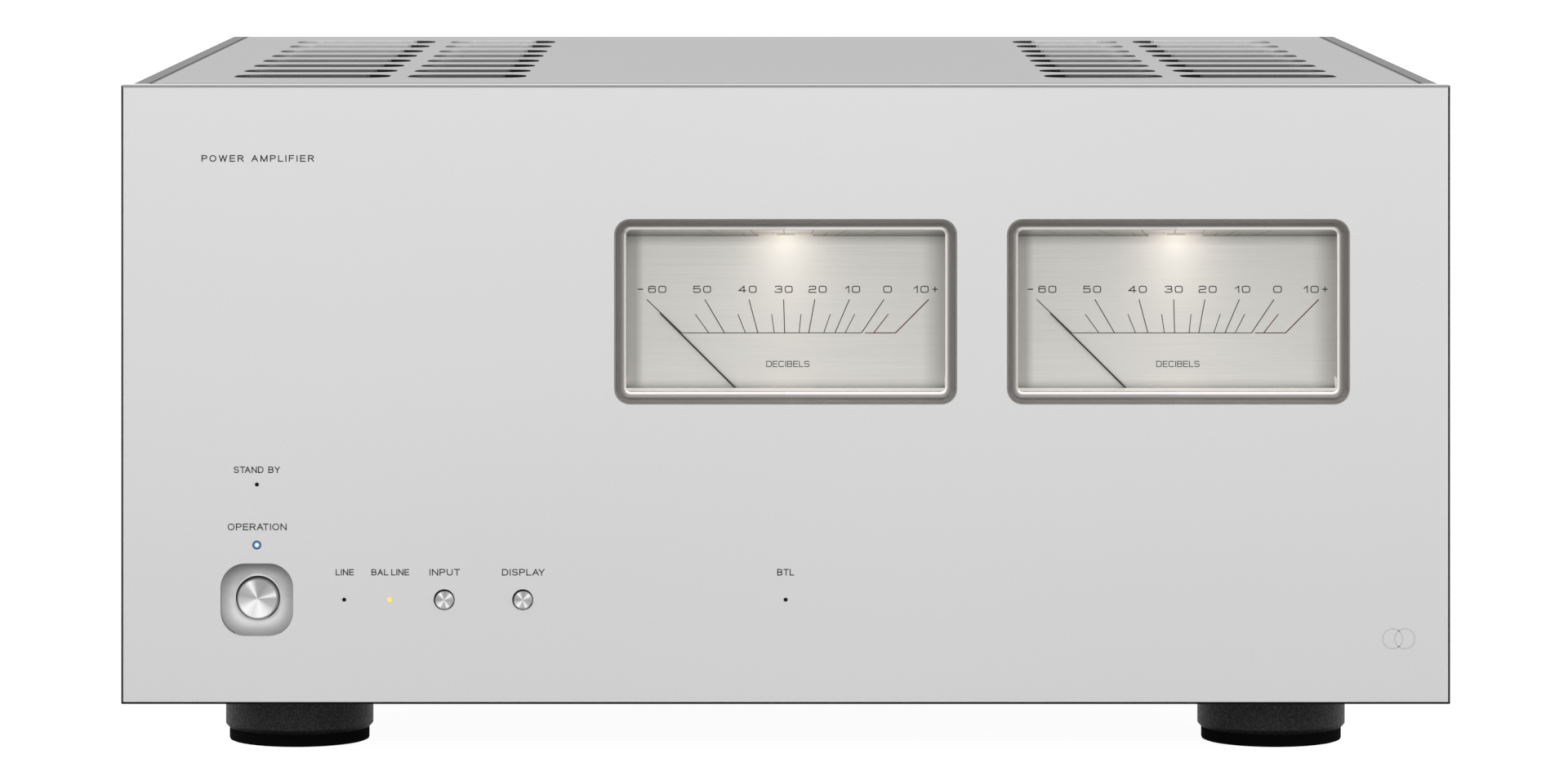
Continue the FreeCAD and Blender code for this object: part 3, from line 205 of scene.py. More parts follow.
MAT = {}
MAT["button"] = grained("small_button_silver", (0.72, 0.72, 0.72), 0.9, 0.3, 2500.0, 0.02, 0.1, 0.00002)
MAT["black_steel"] = grained("satin_black_steel", (0.034, 0.034, 0.036), 0.0, 0.42, 1700.0, 0.18, 0.5, 0.00008, spread=0.07)
MAT["zinc"] = grained("zinc_plated_steel", (0.55, 0.55, 0.52), 1.0, 0.35, 160.0, 0.08, 0.1, 0.00004)
MAT["mesh"] = grained("matte_black_mesh", (0.02, 0.02, 0.02), 0.2, 0.55, 900.0, 0.15, 0.3, 0.00005)
MAT["screw"] = grained("black_oxide", (0.05, 0.05, 0.053), 0.8, 0.32, 1500.0, 0.1, 0.2, 0.00003)
MAT["foot"] = None
MAT["rubber"] = grained("foot_rubber", (0.003, 0.003, 0.003), 0.0, 0.95, 700.0, 0.25, 0.5, 0.0001, **{"Specular IOR Level": 0.08})
MAT["case"] = grained("moulded_black", (0.02, 0.02, 0.02), 0.0, 0.5, 1300.0, 0.12, 0.3, 0.00004)
MAT["socket"] = grained("socket_black", (0.018, 0.018, 0.019), 0.0, 0.38, 1500.0, 0.12, 0.2, 0.00003)
MAT["gold"] = grained("gold_plate", (0.86, 0.62, 0.24), 1.0, 0.2, 900.0, 0.04, 0.06, 0.00002)
MAT["clear_black"] = grained("terminal_black", (0.012, 0.012, 0.013), 0.0, 0.22, 800.0, 0.1, 0.05, 0.00002, **{"Coat Weight": 0.6, "Coat Roughness": 0.05})
MAT["clear_red"] = grained("terminal_red", (0.42, 0.008, 0.008), 0.0, 0.22, 800.0, 0.1, 0.05, 0.00002, **{"Coat Weight": 0.6, "Coat Roughness": 0.05})
MAT["core"] = grained("transformer_core", (0.10, 0.10, 0.105), 0.6, 0.45, 500.0, 0.2, 0.5, 0.0001, scale=(0.15, 0.15, 3.0))
MAT["winding"] = grained("transformer_winding", (0.30, 0.12, 0.03), 0.3, 0.4, 350.0, 0.25, 0.6, 0.0002, scale=(0.1, 0.1, 3.0))
MAT["fins"] = grained("black_anodised", (0.022, 0.022, 0.023), 0.5, 0.4, 1500.0, 0.12, 0.2, 0.00004)
MAT["wire"] = grained("wire_sleeve", (0.20, 0.20, 0.21), 0.0, 0.5, 900.0, 0.1, 0.1, 0.00003)
MAT["ink"] = grained("printed_ink", (0.03, 0.03, 0.03), 0.0, 0.55, 2500.0, 0.08, 0.1, 0.00001)
MAT["dial_ink"] = grained("dial_ink", (0.012, 0.012, 0.012), 0.0, 0.6, 2500.0, 0.08, 0.1, 0.00001)
MAT["dial_red"] = grained("dial_ink_red", (0.13, 0.008, 0.012), 0.0, 0.6, 2500.0, 0.06, 0.1, 0.00001)
MAT["white_ink"] = grained("white_ink", (0.72, 0.72, 0.70), 0.0, 0.55, 2500.0, 0.05, 0.1, 0.00001)
MAT["needle"] = grained("needle_black", (0.012, 0.012, 0.012), 0.1, 0.5, 1500.0, 0.08, 0.1, 0.00002)
MAT["engraved"] = grained("engraved_mark", (0.60, 0.60, 0.60), 0.8, 0.3, 2500.0, 0.03, 0.1, 0.00002)


# Tone levels for the silver parts; the values for the side panels' top faces, the front panel's outer chamfers and the
# lower part of the power button's dish are painted shade.
PANEL_TONE, COVER_TONE = 0.80, 0.76
SIDE_TONE, SIDE_TOP_SHADE = 0.74, 0.34
CHAMFER_SHADE_SIDE, CHAMFER_SHADE_LOW, CHAMFER_SHADE_TOP = 0.955, 0.96, 0.55
DISH_LOW_SHADE = 0.26
BZ = (0.37, 0.46, 0.80, 1.0)


# scale marks: top and bottom ends across the dial, long ones then short ones
MAJOR = [(-46.26, -34.64), (-26.91, -20.34), (-12.20, -9.24), (-0.63, -0.33), (9.77, 7.73), (21.26, 16.46), (32.80, 25.31)]
MINOR = [(-30.09, -25.57), (-15.88, -13.37), (-4.64, -3.76), (5.14, 4.51), (14.91, 12.73), (23.03, 19.84)]


def flat_normal(t):
    """The true face normal where a face is square to an axis, the smooth one elsewhere."""
    geo = t.new("ShaderNodeNewGeometry")
    sep = t.new("ShaderNodeSeparateXYZ")
    t.link(geo.outputs["True Normal"], sep.inputs[0])
    big = t.math("MAXIMUM", t.math("MAXIMUM", t.math("ABSOLUTE", sep.outputs[0]), t.math("ABSOLUTE", sep.outputs[1])), t.math("ABSOLUTE", sep.outputs[2]))
    n = t.new("ShaderNodeMix", data_type="VECTOR")
    t.link(t.math("GREATER_THAN", big, 0.9995), n.inputs["Factor"])
    vecs = [q for q in n.inputs if q.type == "VECTOR" and q.name in ("A", "B")]
    t.link(geo.outputs["Normal"], vecs[0])
    t.link(geo.outputs["True Normal"], vecs[1])
    return [o for o in n.outputs if o.type == "VECTOR"][0]


def silver(t, tone, metallic, rough, grain, amount):
    fine = t.noise((1, 1, 1), grain, 2.0, 0.6)
    slow = t.noise((1, 1, 1), 7.0, 1.0, 0.4)
    f = t.math("ADD", t.map(fine, 0.3, 0.7, 1 - amount, 1 + amount), t.map(slow, 0.3, 0.7, -0.006, 0.006))
    v = t.math("MULTIPLY", f, tone)
    col = t.new("ShaderNodeCombineColor")
    for q in col.inputs[:3]:
        t.link(v, q)
    bump = t.new("ShaderNodeBump")
    t.link(fine, bump.inputs["Height"])
    bump.inputs["Strength"].default_value = 0.18
    bump.inputs["Distance"].default_value = 0.00003
    t.link(flat_normal(t), bump.inputs["Normal"])
    return t.bsdf(col.outputs[0], metallic, t.map(fine, 0.25, 0.75, rough - 0.04, rough + 0.04), bump.outputs[0])


def foot_material():
    """Black textured coating, finely speckled."""
    t = Tree("foot_coating")
    speck = t.noise((1, 1, 1), 1500.0, 2.0, 0.75)
    broad = t.noise((1, 1, 1), 420.0, 2.0, 0.6)
    f = t.math("MULTIPLY", t.map(speck, 0.42, 0.72, 0.45, 3.0), t.map(broad, 0.3, 0.7, 0.8, 1.2))
    c = t.new("ShaderNodeVectorMath", operation="SCALE")
    c.inputs[0].default_value = (0.013, 0.013, 0.0135)
    t.link(f, c.inputs["Scale"])
    return t.done(t.bsdf(c.outputs[0], 0.0, t.map(speck, 0.35, 0.65, 0.52, 0.34), t.bump(speck, 0.9, 0.00022), **{"Specular IOR Level": 0.30}))


def side_material():
    """Satin silver side panel, with painted shade on its top face and a painted shadow line along the gap beside the
    cover.
    """
    t = Tree("satin_silver_side")
    geo = t.new("ShaderNodeNewGeometry")
    n = t.new("ShaderNodeSeparateXYZ")
    t.link(geo.outputs["True Normal"], n.inputs[0])
    x, y, z = t.xyz()
    # painted shade on the top face, and a painted shadow line along the gap beside the cover
    top = t.math("GREATER_THAN", n.outputs[2], 0.25)
    gap = t.math("MULTIPLY", t.math("LESS_THAN", t.math("ABSOLUTE", x), 0.2123), 0.85)
    tone = t.math("MULTIPLY", t.map(top, 0.0, 1.0, SIDE_TONE, SIDE_TOP_SHADE), t.math("SUBTRACT", 1.0, gap))
    return t.done(silver(t, tone, 0.70, 0.40, 3000.0, 0.03))


def panel_material():
    """Bead-blasted silver face, with painted light: painted shade on the outer chamfers, painted shade and highlight
    across the dished recess, which darkens outwards, a painted highlight with a faint glow on the top face, and painted
    shadow in the bores round the buttons.
    """
    t = Tree("bead_blasted_silver")
    x, y, z = t.xyz()
    geo = t.new("ShaderNodeNewGeometry")
    n = t.new("ShaderNodeSeparateXYZ")
    t.link(geo.outputs["True Normal"], n.inputs[0])
    slant = t.math("MULTIPLY", t.math("GREATER_THAN", t.math("MULTIPLY", n.outputs[1], -1.0), 0.6), t.math("LESS_THAN", t.math("MULTIPLY", n.outputs[1], -1.0), 0.8))
    # painted shade only on the outer chamfers: the meter openings' small ones stay light
    outer = t.math("SUBTRACT", 1.0, t.math("MULTIPLY", t.math("LESS_THAN", t.math("ABSOLUTE", x), 0.200), t.math("MULTIPLY", t.math("GREATER_THAN", z, 0.100), t.math("LESS_THAN", z, 0.195))))
    edge = t.math("MULTIPLY", t.math("MULTIPLY", slant, outer), t.math("LESS_THAN", y, (YF + 0.95) * MM))
    # painted shade on the outer chamfers: near black on the sides and bottom, about half tone on the top
    sides = t.math("MULTIPLY", edge, t.math("GREATER_THAN", t.math("ABSOLUTE", n.outputs[0]), 0.5))
    low = t.math("MULTIPLY", edge, t.math("LESS_THAN", n.outputs[2], -0.5))
    top = t.math("MULTIPLY", edge, t.math("GREATER_THAN", n.outputs[2], 0.5))
    chamfer_shade = t.math("ADD", t.math("ADD", t.math("MULTIPLY", sides, CHAMFER_SHADE_SIDE), t.math("MULTIPLY", low, CHAMFER_SHADE_LOW)), t.math("MULTIPLY", top, CHAMFER_SHADE_TOP))
    # dish round the power button: painted shade and highlight by distance from its centre, squared off like its
    # outline; bright near the bore, darker outwards, and darker towards the bottom
    ax = t.math("ABSOLUTE", t.math("SUBTRACT", x, POWER_X * MM))
    az = t.math("ABSOLUTE", t.math("SUBTRACT", z, POWER_Z * MM))
    q = t.math("POWER", t.math("ADD", t.math("POWER", ax, 3.0), t.math("POWER", az, 3.0)), 1.0 / 3.0)
    dish = t.math("MULTIPLY", t.math("LESS_THAN", q, 0.0136), t.math("GREATER_THAN", y, (YF + 0.02) * MM))
    dish_lower_shade = t.map(t.math("SUBTRACT", z, POWER_Z * MM), -0.012, 0.012, 1.0, 0.0)
    tone = t.ramp(t.map(q, 0.0072, 0.0128, 0.0, 1.0), [(0.0, g(0.85)), (0.10, g(0.97)), (0.25, g(0.90)), (0.50, g(0.72)), (0.80, g(0.60)), (1.0, g(0.54))])
    lum = t.new("ShaderNodeSeparateColor")
    t.link(tone, lum.inputs[0])
    dv = t.math("MULTIPLY", lum.outputs[0], t.math("SUBTRACT", 1.0, t.math("MULTIPLY", dish_lower_shade, DISH_LOW_SHADE)))
    # painted highlight on the panel's top face: a lighter tone and a faint glow
    lit_top_face = t.math("GREATER_THAN", n.outputs[2], 0.9)
    base = t.math("ADD", t.math("MULTIPLY", PANEL_TONE, t.math("SUBTRACT", 1.0, chamfer_shade)), t.math("MULTIPLY", lit_top_face, 0.2))
    mixed = t.math("ADD", t.math("MULTIPLY", dish, dv), t.math("MULTIPLY", t.math("SUBTRACT", 1.0, dish), base))
    # painted shadow in the bores round the buttons: near black at the top and sides, lighter towards the bottom
    clear = 1.0
    for cx, cz, r, deep in ((POWER_X, POWER_Z, 7.6, 5.72), (-113.0, 53.8, 3.62, 0.03), (-87.0, 53.8, 3.62, 0.03)):
        dx = t.math("SUBTRACT", x, cx * MM)
        dz = t.math("SUBTRACT", z, cz * MM)
        rr = t.math("SQRT", t.math("ADD", t.math("MULTIPLY", dx, dx), t.math("MULTIPLY", dz, dz)))
        bore = t.math("MULTIPLY", t.math("LESS_THAN", rr, r * MM), t.math("GREATER_THAN", y, (YF + deep) * MM))
        turn = t.math("DIVIDE", t.math("ADD", dz, t.math("MULTIPLY", dx, 0.35)), rr)
        black = t.map(turn, -0.95, -0.45, 0.62 if r > 5 else 0.9, 0.985)
        clear = t.math("MULTIPLY", clear, t.math("SUBTRACT", 1.0, t.math("MULTIPLY", bore, black)))
    b = silver(t, t.math("MULTIPLY", mixed, clear), 0.70, 0.42, 3000.0, 0.035)
    # the faint glow on the top face is painted highlight
    b.inputs["Emission Color"].default_value = (1, 1, 1, 1)
    t.link(t.math("MULTIPLY", lit_top_face, 0.13), b.inputs["Emission Strength"])
    return t.done(b)


def bezel_material():
    """Polished cove with painted reflection and shade: dark outside, brightening to a lip at the inner edge, with its
    own tone ramp for the top, the bottom and the sides; depth gives the place across the cove.
    """
    t = Tree("polished_bezel")
    x, y, z = t.xyz()
    d = t.map(y, (YF + 0.25) * MM, (YF + 5.0) * MM, 0.0, 1.0)
    f = t.math("SUBTRACT", 1.0, t.math("SQRT", t.math("MAXIMUM", t.math("SUBTRACT", 1.0, t.math("MULTIPLY", d, d)), 0.0)))
    upper = t.map(z, (METER_Z + 26.2) * MM, (METER_Z + 27.6) * MM, 0.0, 1.0)
    lower = t.map(z, (METER_Z - 27.6) * MM, (METER_Z - 26.2) * MM, 1.0, 0.0)
    far = t.math("GREATER_THAN", t.math("SUBTRACT", x, t.math("MULTIPLY", t.math("GREATER_THAN", x, 0.065), 0.130)), 0.0)
    # painted reflection and shade across the cove: one tone ramp each for the sides, the top and the bottom
    side = t.ramp(f, [(0.0, g(0.34)), (0.05, g(0.26)), (0.43, g(0.265)), (0.52, g(0.28)), (0.60, g(0.31)), (0.69, g(0.39)), (0.78, g(0.55)), (0.86, g(0.72)), (0.94, g(0.84)), (1.0, g(0.58))])
    top = t.ramp(f, [(0.0, g(0.42)), (0.08, g(0.365)), (0.32, g(0.365)), (0.41, g(0.42)), (0.50, g(0.50)), (0.58, g(0.66)), (0.66, g(0.92)), (0.74, g(1.0)), (0.92, g(1.0)), (1.0, g(0.45))])
    base = t.ramp(f, [(0.0, g(0.36)), (0.13, g(0.33)), (0.25, g(0.29)), (0.38, g(0.313)), (0.54, g(0.40)), (0.63, g(0.525)), (0.71, g(0.66)), (0.79, g(0.90)), (0.85, g(1.0)), (0.91, g(0.95)), (0.95, g(0.60)), (1.0, g(0.15))])
    # painted highlight on the outer rim: a flat tone and a faint glow
    rim = t.map(y, (YF + 0.17) * MM, (YF + 0.24) * MM, 1.0, 0.0)
    tone = t.mix(rim, t.mix(lower, t.mix(upper, side, top), base), (0.30, 0.30, 0.30))
    grain = t.noise((1, 1, 1), 1800.0, 2.0, 0.6)
    # painted highlight, as a faint glow, on the lip: most above and below, more on the right than on the left
    lip = t.math("MULTIPLY", t.map(f, 0.62, 0.84, 0.0, 1.0), t.map(f, 0.95, 1.0, 1.0, 0.0))
    amount = t.math("ADD", t.math("MULTIPLY", far, 0.10), t.math("ADD", t.math("MULTIPLY", upper, 0.42), t.math("MULTIPLY", lower, 0.22)))
    c = t.new("ShaderNodeVectorMath", operation="MULTIPLY")
    t.link(tone, c.inputs[0])
    c.inputs[1].default_value = (1.0, 0.955, 0.915)
    b = t.bsdf(c.outputs[0], 0.55, t.map(grain, 0.3, 0.7, 0.20, 0.26), t.bump(grain, 0.03, 0.00001))
    b.inputs["Emission Color"].default_value = (1.0, 0.98, 0.95, 1.0)
    t.link(t.math("ADD", t.math("MULTIPLY", lip, amount), t.math("MULTIPLY", rim, 0.02)), b.inputs["Emission Strength"])
    return t.done(b)


def cover_material():
    """Satin silver cover, with painted shade on the punched walls of the vent windows and painted highlights at their
    outer ends, stronger in the rear rows, and painted shadow along the gaps at its front and side edges.
    """
    t = Tree("satin_silver_cover")
    x, y, z = t.xyz()
    geo = t.new("ShaderNodeNewGeometry")
    n = t.new("ShaderNodeSeparateXYZ")
    t.link(geo.outputs["True Normal"], n.inputs[0])
    wall = t.math("LESS_THAN", t.math("ABSOLUTE", n.outputs[2]), 0.5)
    ax = t.math("ABSOLUTE", x)
    m = t.math("MULTIPLY", wall, t.math("MULTIPLY", t.math("GREATER_THAN", ax, 0.087), t.math("LESS_THAN", ax, 0.190)))
    m = t.math("MULTIPLY", m, t.math("MULTIPLY", t.math("GREATER_THAN", y, -0.184), t.math("LESS_THAN", y, 0.173)))
    m = t.math("MULTIPLY", m, t.math("GREATER_THAN", z, 0.2205))
    # painted shade on the vent walls, with painted highlights on the outer ends, stronger towards the rear rows
    inward = t.math("MULTIPLY", t.math("MULTIPLY", n.outputs[0], t.math("SIGN", x)), -1.0)
    back = t.map(y, -0.18, 0.17, 0.0, 1.0)
    wall_shading = t.ramp(t.map(inward, -1.0, 1.0, 0.0, 1.0), [(0.0, g(0.010)), (0.40, g(0.012)), (0.49, g(0.13)), (0.53, g(0.14)), (0.62, g(0.17)), (0.72, g(0.22)), (0.84, g(0.13)), (1.0, g(0.05))])
    lum = t.new("ShaderNodeSeparateColor")
    t.link(wall_shading, lum.inputs[0])
    painted_wall_tone = t.math("MINIMUM", t.math("MULTIPLY", lum.outputs[0], t.math("ADD", 1.0, t.math("MULTIPLY", t.math("MULTIPLY", back, back), 5.5))), 0.92)
    tone = t.math("ADD", t.math("MULTIPLY", m, painted_wall_tone), t.math("MULTIPLY", t.math("SUBTRACT", 1.0, m), COVER_TONE))
    # painted shadow along the gap behind the front panel and along the gaps beside the side panels
    front_gap_shadow = t.math("MULTIPLY", t.math("LESS_THAN", y, -0.2275), 0.72)
    side_gap_shadow = t.math("MULTIPLY", t.math("GREATER_THAN", ax, 0.2105), 0.45)
    tone = t.math("MULTIPLY", tone, t.math("SUBTRACT", 1.0, t.math("MAXIMUM", front_gap_shadow, side_gap_shadow)))
    return t.done(silver(t, tone, 0.70, 0.38, 3000.0, 0.03))


def pcb_material(name, axis, lo, hi):
    """Green board between lo and hi along axis; mixed component bodies elsewhere."""
    t = Tree(name)
    x, y, z = t.xyz()
    p = (x, y, z)[axis]
    on_board = t.math("MULTIPLY", t.math("GREATER_THAN", p, lo * MM), t.math("LESS_THAN", p, hi * MM))
    vor = t.new("ShaderNodeTexVoronoi")
    t.link(t.vec((1, 1, 1)), vor.inputs["Vector"])
    vor.inputs["Scale"].default_value = 55.0
    parts = t.ramp(vor.outputs["Color"], [(0.0, (0.02, 0.02, 0.02)), (0.45, (0.06, 0.06, 0.07)), (0.6, (0.35, 0.33, 0.28)), (1.0, (0.02, 0.025, 0.06))])
    tracks = t.noise((1, 1, 1), 260.0, 3.0, 0.7)
    green = t.ramp(tracks, [(0.0, (0.004, 0.045, 0.018)), (0.52, (0.006, 0.06, 0.024)), (0.58, (0.012, 0.11, 0.045)), (1.0, (0.012, 0.11, 0.045))])
    return t.done(t.bsdf(t.mix(on_board, parts, green), 0.0, 0.38))


def spun_material(name, cx, cz, radius, rays_at, lean):
    """Spun aluminium face: fine rings, painted highlight rays where the rings would catch the lights, and a faint glow
    from the bright parts as painted sheen.
    """
    t = Tree(name)
    x, y, z = t.xyz()
    dx = t.math("SUBTRACT", x, cx * MM)
    dz = t.math("SUBTRACT", z, cz * MM)
    r = t.math("SQRT", t.math("ADD", t.math("MULTIPLY", dx, dx), t.math("MULTIPLY", dz, dz)))
    rings = t.math("SINE", t.math("MULTIPLY", r, 24000.0))
    turn = t.math("DIVIDE", t.math("ARCTAN2", dz, dx), 2 * math.pi)
    turn = t.math("FRACT", t.math("ADD", turn, 1.0))
    # painted highlight rays: tone by angle round the centre
    rays = t.ramp(turn, [(p, g(v)) for p, v in rays_at])
    face = t.map(r, radius * 0.90 * MM, radius * 0.96 * MM, 1.0, 0.0)
    col = t.mix(face, (0.55, 0.55, 0.55), rays)
    fine = t.new("ShaderNodeMix", data_type="RGBA", blend_type="MULTIPLY")
    fine.inputs["Factor"].default_value = 1.0
    cols = [q for q in fine.inputs if q.type == "RGBA"]
    t.link(col, cols[0])
    shade = t.new("ShaderNodeCombineColor")
    tone = t.map(rings, -1, 1, 0.93, 1.0)
    for q in shade.inputs[:3]:
        t.link(tone, q)
    t.link(shade.outputs[0], cols[1])
    out = [o for o in fine.outputs if o.type == "RGBA"][0]
    # the rim falls into the bore's shadow at the upper left
    ox = t.math("SUBTRACT", dx, 0.7 * lean * radius * MM)
    oz = t.math("ADD", dz, lean * radius * MM)
    off = t.math("SQRT", t.math("ADD", t.math("MULTIPLY", ox, ox), t.math("MULTIPLY", oz, oz)))
    shade = t.map(off, radius * 0.975 * MM, radius * 1.05 * MM, 1.0, 0.06)
    dim = t.new("ShaderNodeVectorMath", operation="SCALE")
    t.link(out, dim.inputs[0])
    t.link(shade, dim.inputs["Scale"])
    b = t.bsdf(dim.outputs[0], 0.45, 0.30, t.bump(rings, 0.12, 0.00002))
    # painted sheen: the face glows faintly with the square of its tone
    sq = t.new("ShaderNodeVectorMath", operation="MULTIPLY")
    t.link(dim.outputs[0], sq.inputs[0])
    t.link(dim.outputs[0], sq.inputs[1])
    t.link(sq.outputs[0], b.inputs["Emission Color"])
    b.inputs["Emission Strength"].default_value = 0.24
    return t.done(b)


def dial_material():
    """Horizontally brushed silver plate with painted light: the lamp's glow painted at its top, a faint painted glow
    near the bottom centre, and painted shade in bands at the sides and at the top and bottom ends.
    """
    t = Tree("dial_plate")
    x, y, z = t.xyz()
    streak = t.noise((0.012, 1.0, 1.6), 1500.0, 3.0, 0.6)
    drift = t.noise((0.15, 1.0, 1.0), 30.0, 1.0, 0.5)
    # place across the nearer meter
    dx = t.math("SUBTRACT", x, t.math("MULTIPLY", t.math("GREATER_THAN", x, 0.065), 0.130))
    near = t.math("ABSOLUTE", dx)
    far = t.math("GREATER_THAN", dx, 0.0)
    # painted shade: darker bands at the sides of each dial, and darker strips at its top and bottom ends
    side_band_shade = t.math("ADD", t.math("MULTIPLY", far, t.map(dx, 0.0455, 0.0520, 1.0, 0.65)),
                  t.math("MULTIPLY", t.math("SUBTRACT", 1.0, far), t.map(dx, -0.0500, -0.0473, 0.63, 1.0)))
    ends = t.math("MULTIPLY", t.map(z, 0.1697, 0.1728, 1.0, 0.68), t.map(z, 0.1228, 0.1254, 0.80, 1.0))
    tone = t.math("MULTIPLY", t.math("MULTIPLY", side_band_shade, ends), t.math("ADD", t.map(streak, 0.3, 0.7, 0.95, 1.03), t.map(drift, 0.3, 0.7, -0.010, 0.010)))
    base = t.new("ShaderNodeVectorMath", operation="SCALE")
    base.inputs[0].default_value = (0.882, 0.882, 0.862)
    t.link(tone, base.inputs["Scale"])
    # painted pool of lamp light: a glow cone from the top edge, widening and fading downwards
    up = t.math("SUBTRACT", 0.1731, z)
    wide = t.math("ADD", 0.0100, t.math("MULTIPLY", t.math("MAXIMUM", up, 0.0), 0.22))
    q = t.math("DIVIDE", near, wide)
    lamp_glow_cone = t.math("MULTIPLY", t.math("POWER", 2.718, t.math("MULTIPLY", t.math("POWER", q, 1.7), -1.0)), t.math("POWER", 2.718, t.math("DIVIDE", up, -0.0160)))
    lamp_glow_cone = t.math("MULTIPLY", lamp_glow_cone, t.map(z, 0.17315, 0.17335, 1.0, 0.70))
    # painted glow near the bottom centre
    foot = t.math("MULTIPLY", t.map(z, 0.1232, 0.1300, 0.05, 0.0), t.map(near, 0.003, 0.012, 1.0, 0.0))
    b = t.bsdf(base.outputs[0], 0.35, 0.42, t.bump(streak, 0.15, 0.00002))
    b.inputs["Emission Color"].default_value = (1.0, 0.915, 0.79, 1.0)
    t.link(t.math("ADD", t.math("MULTIPLY", lamp_glow_cone, 0.53), foot), b.inputs["Emission Strength"])
    return t.done(b)


def meter_case_material():
    """Black moulding outside. The reflector walls round the dial are bright and glow faintly; the ceiling, brightening
    towards the front, carries a painted reflection of the scale marks.
    """
    t = Tree("meter_case")
    x, y, z = t.xyz()
    dx = t.math("SUBTRACT", x, t.math("MULTIPLY", t.math("GREATER_THAN", x, 0.065), 0.130))
    near = t.math("ABSOLUTE", dx)
    inside = t.math("MULTIPLY", t.math("LESS_THAN", near, 0.0532), t.math("MULTIPLY", t.math("GREATER_THAN", z, 0.1219), t.math("LESS_THAN", z, 0.1762)))
    inside = t.math("MULTIPLY", inside, t.math("MULTIPLY", t.math("LESS_THAN", y, -0.2261), t.math("GREATER_THAN", y, -0.23455)))
    high = t.math("GREATER_THAN", z, 0.165)
    low = t.math("LESS_THAN", z, 0.1265)
    v = t.map(y, -0.2262, -0.2346, 0.0, 1.0)
    # painted reflection of the scale marks, as slanting lines across the ceiling, the short ones only on the half next
    # to the dial
    marks = 0.0
    for k, (a, b) in enumerate(MAJOR + MINOR):
        part = 1.0 if k < len(MAJOR) else 0.5
        e = t.math("ABSOLUTE", t.math("SUBTRACT", t.math("SUBTRACT", dx, b * MM), t.math("MULTIPLY", v, (a - b) * MM)))
        soft = t.map(e, 0.00012, 0.00030 + 0.000012 * abs(b), 0.60 - 0.011 * abs(b), 0.0)
        if part < 1.0:
            soft = t.math("MULTIPLY", soft, t.map(v, 0.40, 0.55, 1.0, 0.0))
        marks = t.math("MAXIMUM", marks, soft)
    ceiling = t.math("MULTIPLY", t.map(v, 0.0, 1.0, 0.50, 1.0), t.math("SUBTRACT", 1.0, marks))
    walls = t.math("ADD", t.math("MULTIPLY", high, ceiling), t.math("SUBTRACT", 1.0, high))
    n = t.noise((0.05, 1, 1), 700.0, 2.0, 0.5)
    bright = t.new("ShaderNodeVectorMath", operation="SCALE")
    bright.inputs[0].default_value = (0.99, 0.965, 0.935)
    t.link(walls, bright.inputs["Scale"])
    col = t.mix(inside, (0.02, 0.02, 0.02), bright.outputs[0])
    metal = t.math("MULTIPLY", inside, t.math("SUBTRACT", 1.0, t.math("MULTIPLY", low, 0.7)))
    rough = t.math("ADD", t.math("MULTIPLY", inside, t.math("ADD", 0.12, t.math("MULTIPLY", low, 0.33))), t.math("MULTIPLY", t.math("SUBTRACT", 1.0, inside), 0.5))
    b = t.bsdf(col, metal, rough, t.bump(n, 0.05, 0.00002))
    # painted light: a faint glow on the bottom strip, and a fainter one on the ceiling towards the front
    b.inputs["Emission Color"].default_value = (1.0, 0.97, 0.94, 1.0)
    t.link(t.math("MULTIPLY", inside, t.math("ADD", t.math("MULTIPLY", low, 0.22), t.math("MULTIPLY", high, t.math("MULTIPLY", v, 0.05)))), b.inputs["Emission Strength"])
    return t.done(b)


def glass_material():
    t = Tree("meter_glass")
    fr = t.new("ShaderNodeFresnel")
    fr.inputs["IOR"].default_value = 1.38
    smear = t.noise((1, 1, 1), 40.0, 2.0, 0.5)
    tr = t.new("ShaderNodeBsdfTransparent")
    tr.inputs["Color"].default_value = (0.98, 0.975, 0.965, 1.0)
    gl = t.new("ShaderNodeBsdfGlossy")
    gl.inputs["Color"].default_value = (0.9, 0.9, 0.9, 1.0)
    t.link(t.map(smear, 0.3, 0.7, 0.02, 0.06), gl.inputs["Roughness"])
    m = t.new("ShaderNodeMixShader")
    # rays go straight through, so only the outer faces may reflect
    face = t.new("ShaderNodeNewGeometry")
    t.link(t.math("MULTIPLY", t.math("MULTIPLY", fr.outputs[0], 0.8), t.math("SUBTRACT", 1.0, face.outputs["Backfacing"])), m.inputs[0])
    t.link(tr.outputs[0], m.inputs[1])
    t.link(gl.outputs[0], m.inputs[2])
    return t.done(m)


